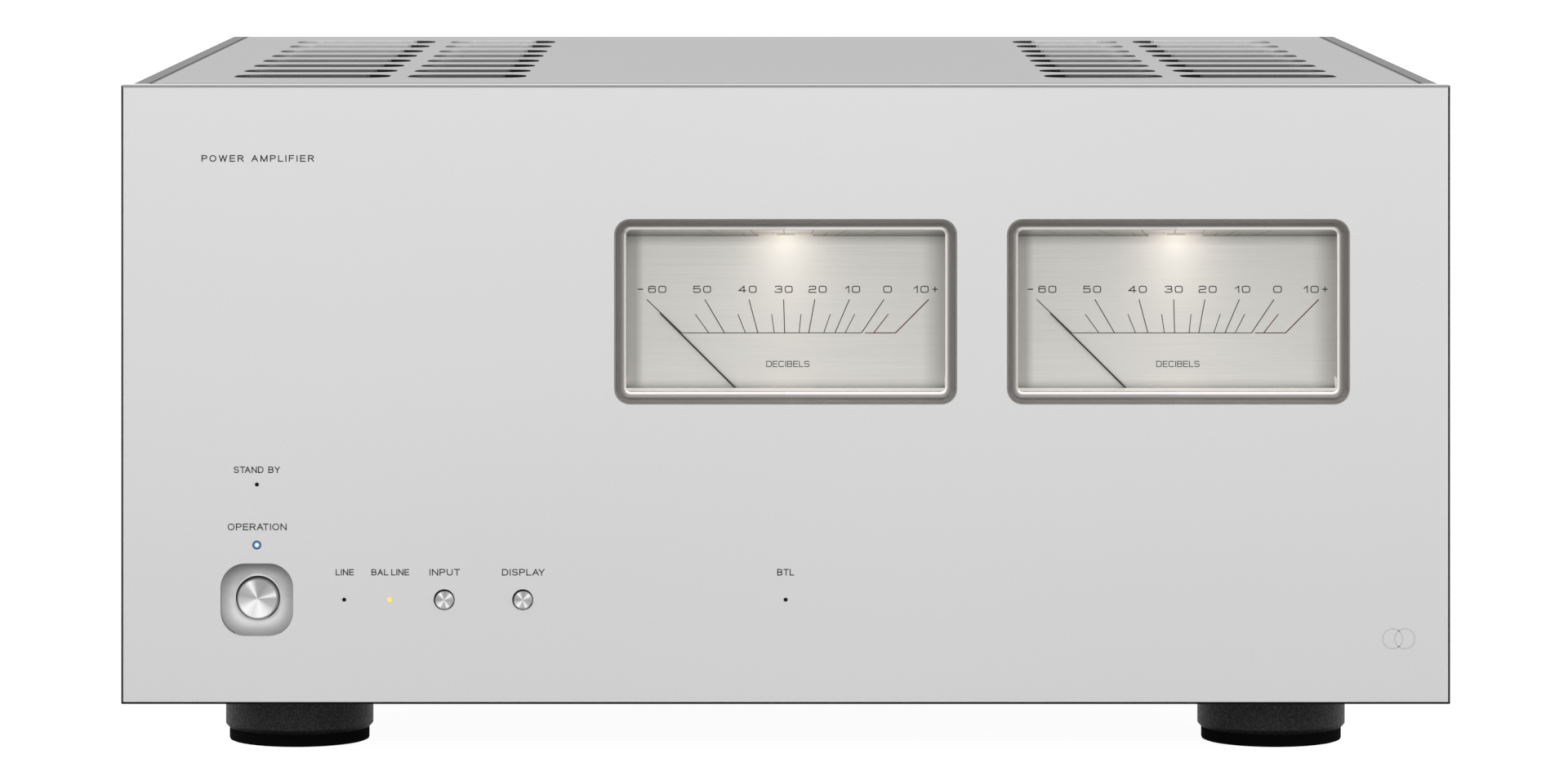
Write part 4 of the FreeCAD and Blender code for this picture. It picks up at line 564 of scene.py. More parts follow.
def led_material(name, cx, cz, dark, lit, core, strength, r_core, r_ring, unlit=()):
    """Smoked lens, lit inside a small radius about (cx, cz) on the panel."""
    t = Tree(name)
    x, y, z = t.xyz()
    dx = t.math("SUBTRACT", x, cx * MM)
    dz = t.math("SUBTRACT", z, cz * MM)
    r = t.math("SQRT", t.math("ADD", t.math("MULTIPLY", dx, dx), t.math("MULTIPLY", dz, dz)))
    on = t.map(r, r_ring * MM * 0.97, r_ring * MM * 1.08, 1.0, 0.0)
    mid = tuple((a + 2 * b) / 3 for a, b in zip(core, lit))
    col = t.ramp(t.map(r, 0.0, r_ring * MM, 0.0, 1.0), [(0.0, core), (r_core / r_ring, core), (min(0.97, 1.45 * r_core / r_ring), mid), (1.0, lit)])
    speck = t.noise((1, 1, 1), 1500.0, 1.0, 0.5)
    body = t.mix(speck, dark, tuple(c * 1.3 for c in dark))
    rim = 0.0
    for ux, uz in unlit:
        ex = t.math("SUBTRACT", x, ux * MM)
        ez = t.math("SUBTRACT", z, uz * MM)
        e = t.math("SQRT", t.math("ADD", t.math("MULTIPLY", ex, ex), t.math("MULTIPLY", ez, ez)))
        rim = t.math("ADD", rim, t.math("MULTIPLY", t.map(e, 0.00062, 0.00070, 0.0, 1.0), t.math("LESS_THAN", e, 0.0012)))
    if unlit:
        body = t.mix(rim, body, (0.78, 0.78, 0.78))
    b = t.bsdf(body, t.math("MULTIPLY", rim, 0.7) if unlit else 0.0, t.map(rim, 0.0, 1.0, 0.45, 0.42) if unlit else 0.25)
    b.inputs["Specular IOR Level"].default_value = 0.12
    t.link(col, b.inputs["Emission Color"])
    t.link(t.math("MULTIPLY", on, strength), b.inputs["Emission Strength"])
    return t.done(b)


def lamp_material():
    """Frosted diffuser: it glows underneath, and its front is shaded like the ceiling round it."""
    t = Tree("lamp_diffuser")
    x, y, z = t.xyz()
    n = t.noise((1, 1, 1), 500.0, 1.0, 0.5)
    geo = t.new("ShaderNodeNewGeometry")
    nm = t.new("ShaderNodeSeparateXYZ")
    t.link(geo.outputs["Normal"], nm.inputs[0])
    under = t.math("LESS_THAN", nm.outputs[2], -0.5)
    b = t.bsdf((0.16, 0.157, 0.15), 0.0, 0.5)
    b.inputs["Emission Color"].default_value = (1.0, 0.92, 0.80, 1.0)
    front = t.map(z, 0.1735, 0.1750, 0.50, 0.04)
    t.link(t.math("MULTIPLY", t.map(n, 0.3, 0.7, 0.95, 1.05), t.math("ADD", t.math("MULTIPLY", under, 0.5), front)), b.inputs["Emission Strength"])
    return t.done(b)


def capacitor_material():
    """Dark sleeve round the can, bare aluminium on top, a pale polarity stripe down one side."""
    t = Tree("capacitor_can")
    x, y, z = t.xyz()
    top = t.math("GREATER_THAN", z, 0.1109)
    n = t.noise((1, 1, 1), 300.0, 2.0, 0.5)
    stripe = t.math("LESS_THAN", t.math("ABSOLUTE", t.math("SUBTRACT", t.math("MODULO", t.math("ADD", x, 1.0), 0.046), 0.0)), 0.004)
    sleeve = t.mix(stripe, (0.012, 0.014, 0.03), (0.45, 0.45, 0.42))
    col = t.mix(top, sleeve, (0.7, 0.7, 0.7))
    return t.done(t.bsdf(col, t.math("MULTIPLY", top, 0.9), t.map(n, 0.3, 0.7, 0.26, 0.36)))


MAT["panel"] = panel_material()
MAT["bezel"] = bezel_material()
MAT["side"] = side_material()
MAT["foot"] = foot_material()
MAT["cover"] = cover_material()
# painted highlight rays for the spun button faces, as tone by fraction of a turn round each centre
BIG_RAYS = [(0.0, 0.48), (0.035, 0.95), (0.075, 0.55), (0.17, 0.38), (0.26, 0.42), (0.325, 1.0), (0.375, 0.55), (0.46, 0.45),
            (0.54, 0.68), (0.61, 1.0), (0.70, 0.82), (0.78, 1.0), (0.86, 0.84), (0.93, 0.52), (1.0, 0.48)]
SMALL_RAYS = [(0.0, 0.42), (0.06, 0.62), (0.105, 1.0), (0.16, 0.50), (0.24, 0.34), (0.30, 0.62), (0.345, 1.0), (0.40, 0.48), (0.50, 0.36),
              (0.60, 0.80), (0.645, 1.0), (0.70, 0.55), (0.77, 0.45), (0.825, 1.0), (0.89, 0.50), (1.0, 0.42)]
MAT["power_cap"] = spun_material("spun_power_button", POWER_X, POWER_Z, 6.85, BIG_RAYS, 0.022)
MAT["spun_input"] = spun_material("spun_input_button", -113.0, 53.8, 3.1, SMALL_RAYS, 0.085)
MAT["spun_display"] = spun_material("spun_display_button", -87.0, 53.8, 3.1, SMALL_RAYS, 0.085)
MAT["dial"] = dial_material()
MAT["meter_case"] = meter_case_material()
MAT["glass"] = glass_material()
MAT["lamp"] = lamp_material()
MAT["caps"] = capacitor_material()
MAT["led"] = led_material("indicator_lens", -131.1, 53.8, (0.004, 0.004, 0.004), (1.0, 0.66, 0.10, 1), (1.0, 0.83, 0.13, 1), 1.05, 0.55, 0.93, ((-175.0, 91.9), (-146.1, 53.8), (0.0, 53.8)))
MAT["led_op"] = led_material("operation_lens", -175.0, 71.9, (0.012, 0.012, 0.02), (0.002, 0.14, 0.42, 1), (0.80, 0.97, 1.0, 1), 1.1, 0.46, 1.16)
MAT["pcb_front"] = pcb_material("board_front", 1, -220.1, -218.3)
MAT["pcb_psu"] = pcb_material("board_supply", 2, 28.5, 30.3)
MAT["pcb_amp"] = pcb_material("board_amplifier", 0, 109.9, 111.7)
MAT["pcb_in"] = pcb_material("board_input", 1, 183.9, 185.7)
MAT["pcb_relay"] = pcb_material("board_relay", 1, 184.3, 186.1)

USE = {
    "front_panel": "panel", "front_subchassis": "zinc", "top_cover": "cover", "vent_mesh": "mesh", "side_panel_left": "side",
    "side_panel_right": "side", "rear_panel": "black_steel", "base_plate": "black_steel", "partition_walls": "zinc",
    "foot_housings": "foot", "foot_pads": "rubber", "chassis_screws": "screw", "meter_bezel_left": "bezel", "meter_bezel_right": "bezel",
    "meter_window_left": "glass", "meter_window_right": "glass", "meter_dial_left": "dial", "meter_dial_right": "dial",
    "meter_needle_left": "needle", "meter_needle_right": "needle", "meter_cases": "meter_case", "meter_movements": "case", "meter_lamps": "lamp",
    "power_button": "power_cap", "power_button_spring": "zinc", "power_switch": "case", "input_button": "spun_input", "display_button": "spun_display",
    "control_board": "pcb_front", "indicator_leds": "led", "operation_led": "led_op", "terminal_posts": "gold", "terminal_bushings": "clear_black",
    "rca_jacks": "gold", "xlr_jacks": "socket", "xlr_latch_left": "socket", "xlr_latch_right": "socket", "mode_switch": "zinc",
    "mode_switch_lever": "socket", "ac_inlet": "socket", "transformer_core": "core", "transformer_windings": "winding",
    "transformer_bracket": "zinc", "filter_capacitors": "caps", "power_supply_board": "pcb_psu", "heatsink_left": "fins",
    "heatsink_right": "fins", "output_transistors": "case", "amplifier_boards": "pcb_amp", "input_board": "pcb_in", "relay_boards": "pcb_relay",
    "wiring": "wire",
}
for name, o in NODES.items():
    key = USE.get(name)
    if key is None:
        key = "gold" if "washer" in name else ("clear_red" if "positive" in name else "clear_black")
    o.data.materials.clear()
    o.data.materials.append(MAT[key])


# ------------------------------------------------------------------ geometry helpers
def mesh_object(name, verts, faces, mat, body):
    me = bpy.data.meshes.new(name)
    me.from_pydata([tuple(c * MM for c in v) for v in verts], [], faces)
    me.update()
    o = bpy.data.objects.new(name, me)
    scene.collection.objects.link(o)
    me.materials.append(mat)
    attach(o, body)
    return o


def strokes(name, segs, y, mat, body, depth=0.04):
    """Printed straight strokes in the plane y, as thin raised bars. segs: (x0, z0, x1, z1, width)."""
    verts, faces = [], []
    for x0, z0, x1, z1, w in segs:
        d = Vector((x1 - x0, 0, z1 - z0))
        d.normalize()
        n = Vector((-d.z, 0, d.x)) * (w / 2)
        base = len(verts)
        for yy in (y, y - depth):
            for px, pz, s in ((x0, z0, 1), (x1, z1, 1), (x1, z1, -1), (x0, z0, -1)):
                verts.append((px + n.x * s, yy, pz + n.z * s))
        faces += [tuple(base + i for i in f) for f in ((4, 5, 6, 7), (3, 2, 1, 0), (0, 1, 5, 4), (1, 2, 6, 5), (2, 3, 7, 6), (3, 0, 4, 7))]
    return mesh_object(name, verts, faces, mat, body)


def arc(cx, cz, rx, rz, a0, a1, n=10, p=2.6):
    """Part of a superellipse, angles in degrees."""
    out = []
    for i in range(n + 1):
        a = math.radians(a0 + (a1 - a0) * i / n)
        c, s = math.cos(a), math.sin(a)
        out.append((cx + rx * math.copysign(abs(c) ** (2 / p), c), cz + rz * math.copysign(abs(s) ** (2 / p), s)))
    return out


def glyphs(p, wide):
    """Single-stroke capitals and figures in a box one unit high. p squares the curves, wide stretches the letters."""
    w = 0.72 * wide
    r = w / 2
    G = {
        "A": (w, [[(0, 0), (r, 1)], [(r, 1), (w, 0)], [(w * 0.19, 0.36), (w * 0.81, 0.36)]]),
        "B": (w * 0.9, [[(0, 0), (0, 1)], [(0, 1), (w * 0.5, 1)] + arc(w * 0.5, 0.765, w * 0.34, 0.235, 90, -90, 12, p) + [(0, 0.53)],
                        [(0, 0.53), (w * 0.52, 0.53)] + arc(w * 0.52, 0.265, w * 0.38, 0.265, 90, -90, 12, p) + [(0, 0)]]),
        "C": (w, [arc(r, 0.5, r, 0.5, 42, 318, 24, p)]),
        "D": (w * 0.95, [[(0, 0), (0, 1)], [(0, 1), (w * 0.42, 1)] + arc(w * 0.42, 0.5, w * 0.53, 0.5, 90, -90, 16, p) + [(0, 0)]]),
        "E": (w * 0.8, [[(0, 0), (0, 1)], [(0, 1), (w * 0.8, 1)], [(0, 0.52), (w * 0.74, 0.52)], [(0, 0), (w * 0.8, 0)]]),
        "F": (w * 0.76, [[(0, 0), (0, 1)], [(0, 1), (w * 0.76, 1)], [(0, 0.52), (w * 0.68, 0.52)]]),
        "G": (w, [arc(r, 0.5, r, 0.5, 42, 300, 24, p) + [(w, 0.12), (w, 0.46)], [(w, 0.46), (w * 0.58, 0.46)]]),
        "H": (w * 0.9, [[(0, 0), (0, 1)], [(w * 0.9, 0), (w * 0.9, 1)], [(0, 0.52), (w * 0.9, 0.52)]]),
        "I": (0.0, [[(0, 0), (0, 1)]]),
        "K": (w * 0.88, [[(0, 0), (0, 1)], [(w * 0.84, 1), (0, 0.38)], [(w * 0.28, 0.58), (w * 0.88, 0)]]),
        "L": (w * 0.72, [[(0, 0), (0, 1)], [(0, 0), (w * 0.72, 0)]]),
        "M": (w * 1.1, [[(0, 0), (0, 1)], [(0, 1), (w * 0.55, 0)], [(w * 0.55, 0), (w * 1.1, 1)], [(w * 1.1, 1), (w * 1.1, 0)]]),
        "N": (w * 0.92, [[(0, 0), (0, 1)], [(0, 1), (w * 0.92, 0)], [(w * 0.92, 0), (w * 0.92, 1)]]),
        "O": (w * 1.06, [arc(w * 0.53, 0.5, w * 0.53, 0.5, 0, 360, 32, p)]),
        "P": (w * 0.86, [[(0, 0), (0, 1)], [(0, 1), (w * 0.5, 1)] + arc(w * 0.5, 0.74, w * 0.36, 0.26, 90, -90, 12, p) + [(0, 0.48)]]),
        "R": (w * 0.9, [[(0, 0), (0, 1)], [(0, 1), (w * 0.52, 1)] + arc(w * 0.52, 0.75, w * 0.36, 0.25, 90, -90, 12, p) + [(0, 0.50)], [(w * 0.5, 0.50), (w * 0.9, 0)]]),
        "S": (w * 0.88, [arc(w * 0.44, 0.76, w * 0.42, 0.24, 25, 180, 14, p) + arc(w * 0.44, 0.76, w * 0.42, 0.24, 180, 262, 8, p)
                         + arc(w * 0.44, 0.26, w * 0.44, 0.26, 82, 0, 8, p) + arc(w * 0.44, 0.26, w * 0.44, 0.26, 0, -158, 14, p)]),
        "T": (w * 0.86, [[(w * 0.43, 0), (w * 0.43, 1)], [(0, 1), (w * 0.86, 1)]]),
        "U": (w * 0.9, [[(0, 1), (0, 0.4)] + arc(w * 0.45, 0.4, w * 0.45, 0.4, 180, 360, 16, p) + [(w * 0.9, 1)]]),
        "W": (w * 1.35, [[(0, 1), (w * 0.34, 0)], [(w * 0.34, 0), (w * 0.675, 1)], [(w * 0.675, 1), (w * 1.01, 0)], [(w * 1.01, 0), (w * 1.35, 1)]]),
        "Y": (w * 0.9, [[(0, 1), (w * 0.45, 0.44)], [(w * 0.9, 1), (w * 0.45, 0.44)], [(w * 0.45, 0.44), (w * 0.45, 0)]]),
        "0": (w, [arc(r, 0.5, r, 0.5, 0, 360, 32, p)]),
        "1": (w * 0.42, [[(w * 0.42, 0), (w * 0.42, 1)], [(w * 0.42, 1), (0, 0.66)]]),
        "2": (w * 0.95, [arc(w * 0.475, 0.75, w * 0.46, 0.25, 165, 0, 14, p) + arc(w * 0.475, 0.75, w * 0.46, 0.27, 0, -80, 8, p)
                         + [(w * 0.25, 0.47)] + arc(w * 0.3, 0.22, w * 0.3, 0.25, 100, 180, 6, p) + [(0, 0)], [(0, 0), (w * 0.95, 0)]]),
        "3": (w * 0.95, [arc(w * 0.475, 0.76, w * 0.45, 0.24, 165, -90, 18, p), [(w * 0.32, 0.52), (w * 0.5, 0.52)], arc(w * 0.475, 0.26, w * 0.475, 0.26, 90, -165, 18, p)]),
        "4": (w, [[(w * 0.74, 0), (w * 0.74, 1)], [(w * 0.74, 1), (0, 0.28)], [(0, 0.28), (w, 0.28)]]),
        "5": (w * 0.95, [[(w * 0.88, 1), (w * 0.07, 1)], [(w * 0.07, 1), (w * 0.02, 0.55)], [(w * 0.02, 0.58), (w * 0.5, 0.62)] + arc(w * 0.475, 0.31, w * 0.475, 0.31, 80, -165, 18, p)]),
        "6": (w * 0.95, [arc(w * 0.475, 0.31, w * 0.475, 0.31, 0, 360, 28, p), arc(w * 0.475, 0.5, w * 0.475, 0.5, 25, 180, 14, p) + [(0, 0.31)]]),
        " ": (w * 0.35, []),
    }
    return G


KERN = {"AT": 0.22, "TA": 0.22, "AY": 0.22, "LA": 0.04, "PL": 0.02, "LI": 0.03, "L ": 0.24, "RA": 0.03, "LY": 0.16, "PO": 0.05, "PU": 0.02}


def lettering(name, s, x, z, y, cap, width, mat, body, weight=0.27, p=2.4, wide=1.0, gap=0.24, rear=False, depth=0.03):
    """Stroke lettering, centred on (x, z), as thin ribbons; sized by capital height and overall width in mm."""
    G = glyphs(p, wide)
    pen, lines = 0.0, []
    for i, ch in enumerate(s):
        w, polys = G[ch]
        for poly in polys:
            lines.append([(pen + px, pz) for px, pz in poly])
        pen += w + (gap - KERN.get(s[i:i + 2], 0.0) if i < len(s) - 1 else 0)
    inner_w, inner_h = width - weight, cap - weight
    sx, sz = inner_w / max(pen, 1e-6), inner_h
    flip = -1.0 if rear else 1.0
    yy = (y, y + depth) if rear else (y, y - depth)
    verts, faces = [], []
    for poly in lines:
        pts = [Vector((x + flip * (px * sx - inner_w / 2), 0, z + pz * sz - inner_h / 2)) for px, pz in poly]
        pts = [q for i, q in enumerate(pts) if i == 0 or (q - pts[i - 1]).length > 1e-4]
        closed = len(pts) > 8 and (pts[0] - pts[-1]).length < 1e-3
        n = len(pts)
        L, R = [], []
        for i in range(n):
            a = pts[i - 1] if i > 0 else (pts[-2] if closed else None)
            b = pts[i + 1] if i < n - 1 else (pts[1] if closed else None)
            d0 = (pts[i] - a).normalized() if a is not None else None
            d1 = (b - pts[i]).normalized() if b is not None else None
            if d0 is None:
                d = d1
                ext = -d * (weight / 2)
            elif d1 is None:
                d = d0
                ext = d * (weight / 2)
            else:
                d = (d0 + d1).normalized() if (d0 + d1).length > 1e-6 else d0
                ext = Vector((0, 0, 0))
            nrm = Vector((-d.z, 0, d.x))
            k = 1.0
            if d0 is not None and d1 is not None:
                k = 1.0 / max(0.5, nrm.dot(Vector((-d0.z, 0, d0.x))))
            L.append(pts[i] + ext + nrm * (weight / 2 * k))
            R.append(pts[i] + ext - nrm * (weight / 2 * k))
        base = len(verts)
        for q in range(n):
            for yv in yy:
                verts.append((L[q].x, yv, L[q].z))
                verts.append((R[q].x, yv, R[q].z))
        for q in range(n - 1):
            a, b = base + 4 * q, base + 4 * (q + 1)
            faces += [(a + 2, a + 3, b + 3, b + 2), (a, b, b + 1, a + 1), (a, a + 2, b + 2, b), (a + 1, b + 1, b + 3, a + 3)]
        if not closed:
            a, b = base, base + 4 * (n - 1)
            faces += [(a, a + 1, a + 3, a + 2), (b, b + 2, b + 3, b + 1)]
    return mesh_object(name, verts, faces, mat, body)


def ring(name, x, z, y, r0, r1, mat, body, n=48, a0=0.0, a1=360.0, depth=0.03):
    verts, faces = [], []
    full = abs(a1 - a0) >= 360
    m = n if full else n + 1
    for i in range(m):
        a = math.radians(a0 + (a1 - a0) * i / n)
        for yy in (y, y - depth):
            for r in (r0, r1):
                verts.append((x + r * math.cos(a), yy, z + r * math.sin(a)))
    for i in range(n):
        p, q = i * 4, ((i + 1) % m) * 4
        faces += [(p + 2, q + 2, q + 3, p + 3), (p, p + 1, q + 1, q), (p, q, q + 2, p + 2), (p + 1, p + 3, q + 3, q + 1)]
    return mesh_object(name, verts, faces, mat, body)


# ------------------------------------------------------------------ meter bezels, swept from their section with smooth shading
def rounded(w, h, r, cx, cz, n=10):
    pts = []
    for qx, qz, a in ((1, 1, 0), (-1, 1, 90), (-1, -1, 180), (1, -1, 270)):
        for i in range(n + 1):
            t = math.radians(a + 90 * i / n)
            pts.append((cx + qx * (w / 2 - r) + r * math.cos(t), cz + qz * (h / 2 - r) + r * math.sin(t)))
    return pts


def bezel_piece(name, mx, node_name):
    W0, H0, R0 = 113.1, 60.9, 5.0
    prof = [(0.0, YB - 0.2, 0.0), (0.0, YF + 0.35, 0.0), (0.06, YF + 0.21, 0.0), (0.2, YF + 0.15, 0.0), (0.33, YF + 0.17, 0.0)]
    for i in range(0, 15):
        a = (math.pi / 2) * i / 14
        prof.append((0.36 + 3.24 * (1 - math.cos(a)), YF + 0.25 + 4.75 * math.sin(a), 0.0))
    prof += [(3.64, YF + 5.02, 0), (3.65, YF + 5.08, 0), (3.65, YF + 5.9, 0)]
    verts, faces = [], []
    m = None
    for inset, y, _ in prof:
        k = min(1.0, inset / 3.65)
        r = R0 + (1.8 - R0) * k
        ring_pts = rounded(W0 - 2 * inset, H0 - 2 * inset, r, mx, METER_Z)
        m = len(ring_pts)
        verts += [(px, y, pz) for px, pz in ring_pts]
    for j in range(len(prof) - 1):
        for i in range(m):
            a, b = j * m + i, j * m + (i + 1) % m
            faces.append((a, a + m, b + m, b))
    o = mesh_object(name, verts, faces, MAT["bezel"], "chassis")
    for p in o.data.polygons:
        p.use_smooth = True
    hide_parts(node_name)
    return o


bezel_piece("bezel_left", METER_X[0], "meter_bezel_left")
bezel_piece("bezel_right", METER_X[1], "meter_bezel_right")

# ------------------------------------------------------------------ power button's return spring: a fixed coil on the button's axis
def coil_spring(name, cx, cz, y0, y1, coil_r, wire_r, turns, mat, body):
    per, around = 36, 10
    n = int(per * turns)
    verts, faces = [], []
    for i in range(n + 1):
        a = 2 * math.pi * i / per
        # the end turns run flat, as on a closed-end spring
        u = i / n
        e = 0.10
        s = 0.0 if u < e else (1.0 if u > 1 - e else (u - e) / (1 - 2 * e))
        yy = y0 + wire_r + (y1 - y0 - 2 * wire_r) * s
        for k in range(around):
            b = 2 * math.pi * k / around
            rr = coil_r + wire_r * math.cos(b)
            verts.append((cx + rr * math.cos(a), yy + wire_r * math.sin(b), cz + rr * math.sin(a)))
    for i in range(n):
        for k in range(around):
            p, q = i * around + k, i * around + (k + 1) % around
            faces.append((p, q, q + around, p + around))
    faces.append(tuple(range(around - 1, -1, -1)))
    faces.append(tuple(n * around + k for k in range(around)))
    o = mesh_object(name, verts, faces, mat, body)
    for f in o.data.polygons:
        f.use_smooth = len(f.vertices) == 4
    return o


spring = coil_spring("button_return_coil", POWER_X, POWER_Z, -228.35, -218.35, 4.2, 0.42, 4.6, MAT["zinc"], "chassis")
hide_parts("power_button_spring")
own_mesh(spring)

# ------------------------------------------------------------------ front panel lettering
FACE = YF - 0.02
INK = MAT["ink"]
for nm, s, x, z, w, cap in (
    ("label_standby", "STAND BY", -175.0, 96.8, 15.3, 2.15),
    ("label_operation", "OPERATION", -174.9, 77.9, 19.5, 2.25),
    ("label_line", "LINE", -145.9, 62.9, 6.0, 2.1),
    ("label_balanced", "BAL LINE", -130.85, 62.9, 12.5, 2.1),
    ("label_input", "INPUT", -112.8, 62.9, 10.1, 2.2),
    ("label_display", "DISPLAY", -86.82, 62.9, 14.1, 2.2),
    ("label_bridged", "BTL", 0.0, 62.9, 5.6, 2.2),
):
    lettering(nm, s, x, z, FACE, cap, w, INK, "chassis", weight=0.34, p=2.15, gap=0.30)
lettering("label_title", "POWER AMPLIFIER", -174.7, 199.8, FACE, 2.2, 37.2, INK, "chassis", weight=0.36, p=2.15, gap=0.46)
ring("stereo_mark_a", 200.9, 40.9, FACE, 3.1, 3.5, MAT["engraved"], "chassis")
ring("stereo_mark_b", 204.9, 40.9, FACE, 3.1, 3.5, MAT["engraved"], "chassis")

for i, (lx, lz) in enumerate(((-175.0, 71.9),)):
    ring("operation_lens_rim", lx, lz, FACE, 1.22, 1.48, MAT["screw"], "chassis")

# ------------------------------------------------------------------ meter scales
MARK_Y = DIAL_Y - 0.01
for side, mx in zip(("left", "right"), METER_X):
    black = [(mx + a, 151.93, mx + b, 140.77, 0.30) for a, b in MAJOR]
    black += [(mx + a, 147.01, mx + b, 140.77, 0.26) for a, b in MINOR]
    black += [(mx - 34.70, 140.77, mx + 25.36, 140.77, 0.26)]
    strokes("scale_marks_" + side, black, MARK_Y, MAT["dial_ink"], "chassis")
    red = [(mx + 47.72, 151.93, mx + 36.64, 140.77, 0.37), (mx + 34.22, 147.01, mx + 29.37, 140.77, 0.32),
           (mx + 26.48, 140.77, mx + 36.70, 140.77, 0.32)]
    strokes("scale_marks_red_" + side, red, MARK_Y, MAT["dial_red"], "chassis")
    for s, x, w in (("60", -42.75, 6.0), ("50", -27.83, 6.0), ("40", -12.67, 6.1), ("30", -0.63, 6.0), ("20", 10.69, 6.0), ("10", 22.35, 5.0), ("0", 33.97, 2.9)):
        lettering("scale_%s_%s" % (s, side), s, mx + x, 155.31, MARK_Y, 2.4, w, MAT["dial_ink"], "chassis", weight=0.34, p=4.0, gap=0.36, depth=0.02)
    lettering("scale_plus10_" + side, "10", mx + 45.21, 155.31, MARK_Y, 2.4, 5.0, MAT["dial_ink"], "chassis", weight=0.34, p=4.0, gap=0.36, depth=0.02)
    strokes("scale_sign_minus_" + side, [(mx - 49.3, 155.31, mx - 47.5, 155.31, 0.38)], MARK_Y, MAT["dial_ink"], "chassis")
    strokes("scale_sign_plus_" + side, [(mx + 48.9, 155.31, mx + 50.7, 155.31, 0.36), (mx + 49.8, 154.4, mx + 49.8, 156.2, 0.36)], MARK_Y, MAT["dial_ink"], "chassis")
    lettering("scale_unit_" + side, "DECIBELS", mx + 0.76, 130.45, MARK_Y, 2.05, 14.4, MAT["dial_ink"], "chassis", weight=0.26, p=4.0, gap=0.26, depth=0.02)

# ------------------------------------------------------------------ rear lettering and terminal marks
RY = REAR_Y + 0.02
W = MAT["white_ink"]
for nm, s, x, z, w, cap in (
    ("rear_speakers_left", "SPEAKER LEFT", -138.0, 104.0, 30.0, 2.4),
    ("rear_speakers_right", "SPEAKER RIGHT", 138.0, 104.0, 32.0, 2.4),
    ("rear_line", "LINE", 0.0, 191.5, 8.0, 2.2),
    ("rear_line_left", "L", -27.0, 193.0, 1.5, 2.2),
    ("rear_line_right", "R", 27.0, 193.0, 1.6, 2.2),
    ("rear_balanced", "BALANCED", 0.0, 154.5, 18.0, 2.2),
    ("rear_bal_left", "L", -32.0, 153.2, 1.5, 2.2),
    ("rear_bal_right", "R", 32.0, 153.2, 1.6, 2.2),
    ("rear_mode_stereo", "STEREO", 9.0, 175.0, 9.5, 1.8),
    ("rear_mode_bridged", "BTL", -9.0, 175.0, 4.8, 1.8),
    ("rear_ac", "AC IN", 0.0, 78.5, 10.0, 2.2),
):
    lettering(nm, s, x, z, RY, cap, w, W, "chassis", weight=0.32, p=2.2, rear=True)
plus, minus = [], []
for i, x in enumerate(POST_X):
    if i in (1, 2):
        plus += [(x - 2, 64.0, x + 2, 64.0, 0.6), (x, 62.0, x, 66.0, 0.6)]
    else:
        minus += [(x - 2, 64.0, x + 2, 64.0, 0.6)]
strokes("rear_polarity", plus + minus, RY + 0.04, W, "chassis")
frames = []
for x0, x1, z0, z1 in ((98.0, 178.0, 58.0, 109.0), (-178.0, -98.0, 58.0, 109.0), (-52.0, 52.0, 112.0, 198.0)):
    frames += [(x0, z0, x1, z0, 0.35), (x1, z0, x1, z1, 0.35), (x1, z1, x0, z1, 0.35), (x0, z1, x0, z0, 0.35)]
strokes("rear_frames", frames, RY + 0.04, W, "chassis")


# ------------------------------------------------------------------ stage
def floor_material():
    t = Tree("pale_floor")
    lp = t.new("ShaderNodeLightPath")
    geo = t.new("ShaderNodeNewGeometry")
    n = t.noise((1, 1, 1), 3.0, 2.0, 0.5)
    d = t.new("ShaderNodeBsdfDiffuse")
    c = t.new("ShaderNodeCombineColor")
    for s in c.inputs[:3]:
        t.link(t.map(n, 0.3, 0.7, 0.50, 0.51), s)
    t.link(c.outputs[0], d.inputs["Color"])
    e = t.new("ShaderNodeEmission")
    e.inputs["Strength"].default_value = 0.95
    a = t.new("ShaderNodeAddShader")
    t.link(d.outputs[0], a.inputs[0])
    t.link(e.outputs[0], a.inputs[1])
    tr = t.new("ShaderNodeBsdfTransparent")
    m = t.new("ShaderNodeMixShader")
    t.link(geo.outputs["Backfacing"], m.inputs[0])
    t.link(a.outputs[0], m.inputs[1])
    t.link(tr.outputs[0], m.inputs[2])
    return t.done(m)


S = 60.0
me = bpy.data.meshes.new("floor")
me.from_pydata([(-S, -S, 0), (S, -S, 0), (S, S, 0), (-S, S, 0)], [], [(0, 1, 2, 3)])
floor = bpy.data.objects.new("floor", me)
me.materials.append(floor_material())
scene.collection.objects.link(floor)
floor.visible_diffuse = False
floor.visible_glossy = False
floor.visible_transmission = False


def area(name, loc, target, size_x, size_y, power, color=(1, 1, 1)):
    l = bpy.data.lights.new(name, "AREA")
    l.shape = "RECTANGLE"
    l.size, l.size_y = size_x, size_y
    l.energy = power
    l.color = color
    o = bpy.data.objects.new(name, l)
    scene.collection.objects.link(o)
    o.location = loc
    d = Vector(target) - Vector(loc)
    o.rotation_euler = d.to_track_quat("-Z", "Y").to_euler()
    o.visible_camera = False
    return o


area("overhead", (0, -0.1, 2.6), (0, 0, 0), 3.2, 3.2, 16)
area("front_soft", (0, -4.6, 0.9), (0, 0, 0.12), 4.2, 2.6, 34.5)
# even fill for the back and sides, kept out of the reflections in the satin metal
for nm, loc, power in (("back_left", (-2.6, 3.6, 1.5), 62), ("back_right", (2.6, 3.6, 1.5), 55), ("side_right", (4.2, -0.6, 1.2), 34), ("side_left", (-4.2, -0.6, 1.2), 34)):
    area(nm, loc, (0, 0.1, 0.12), 2.4, 2.0, power).visible_glossy = False



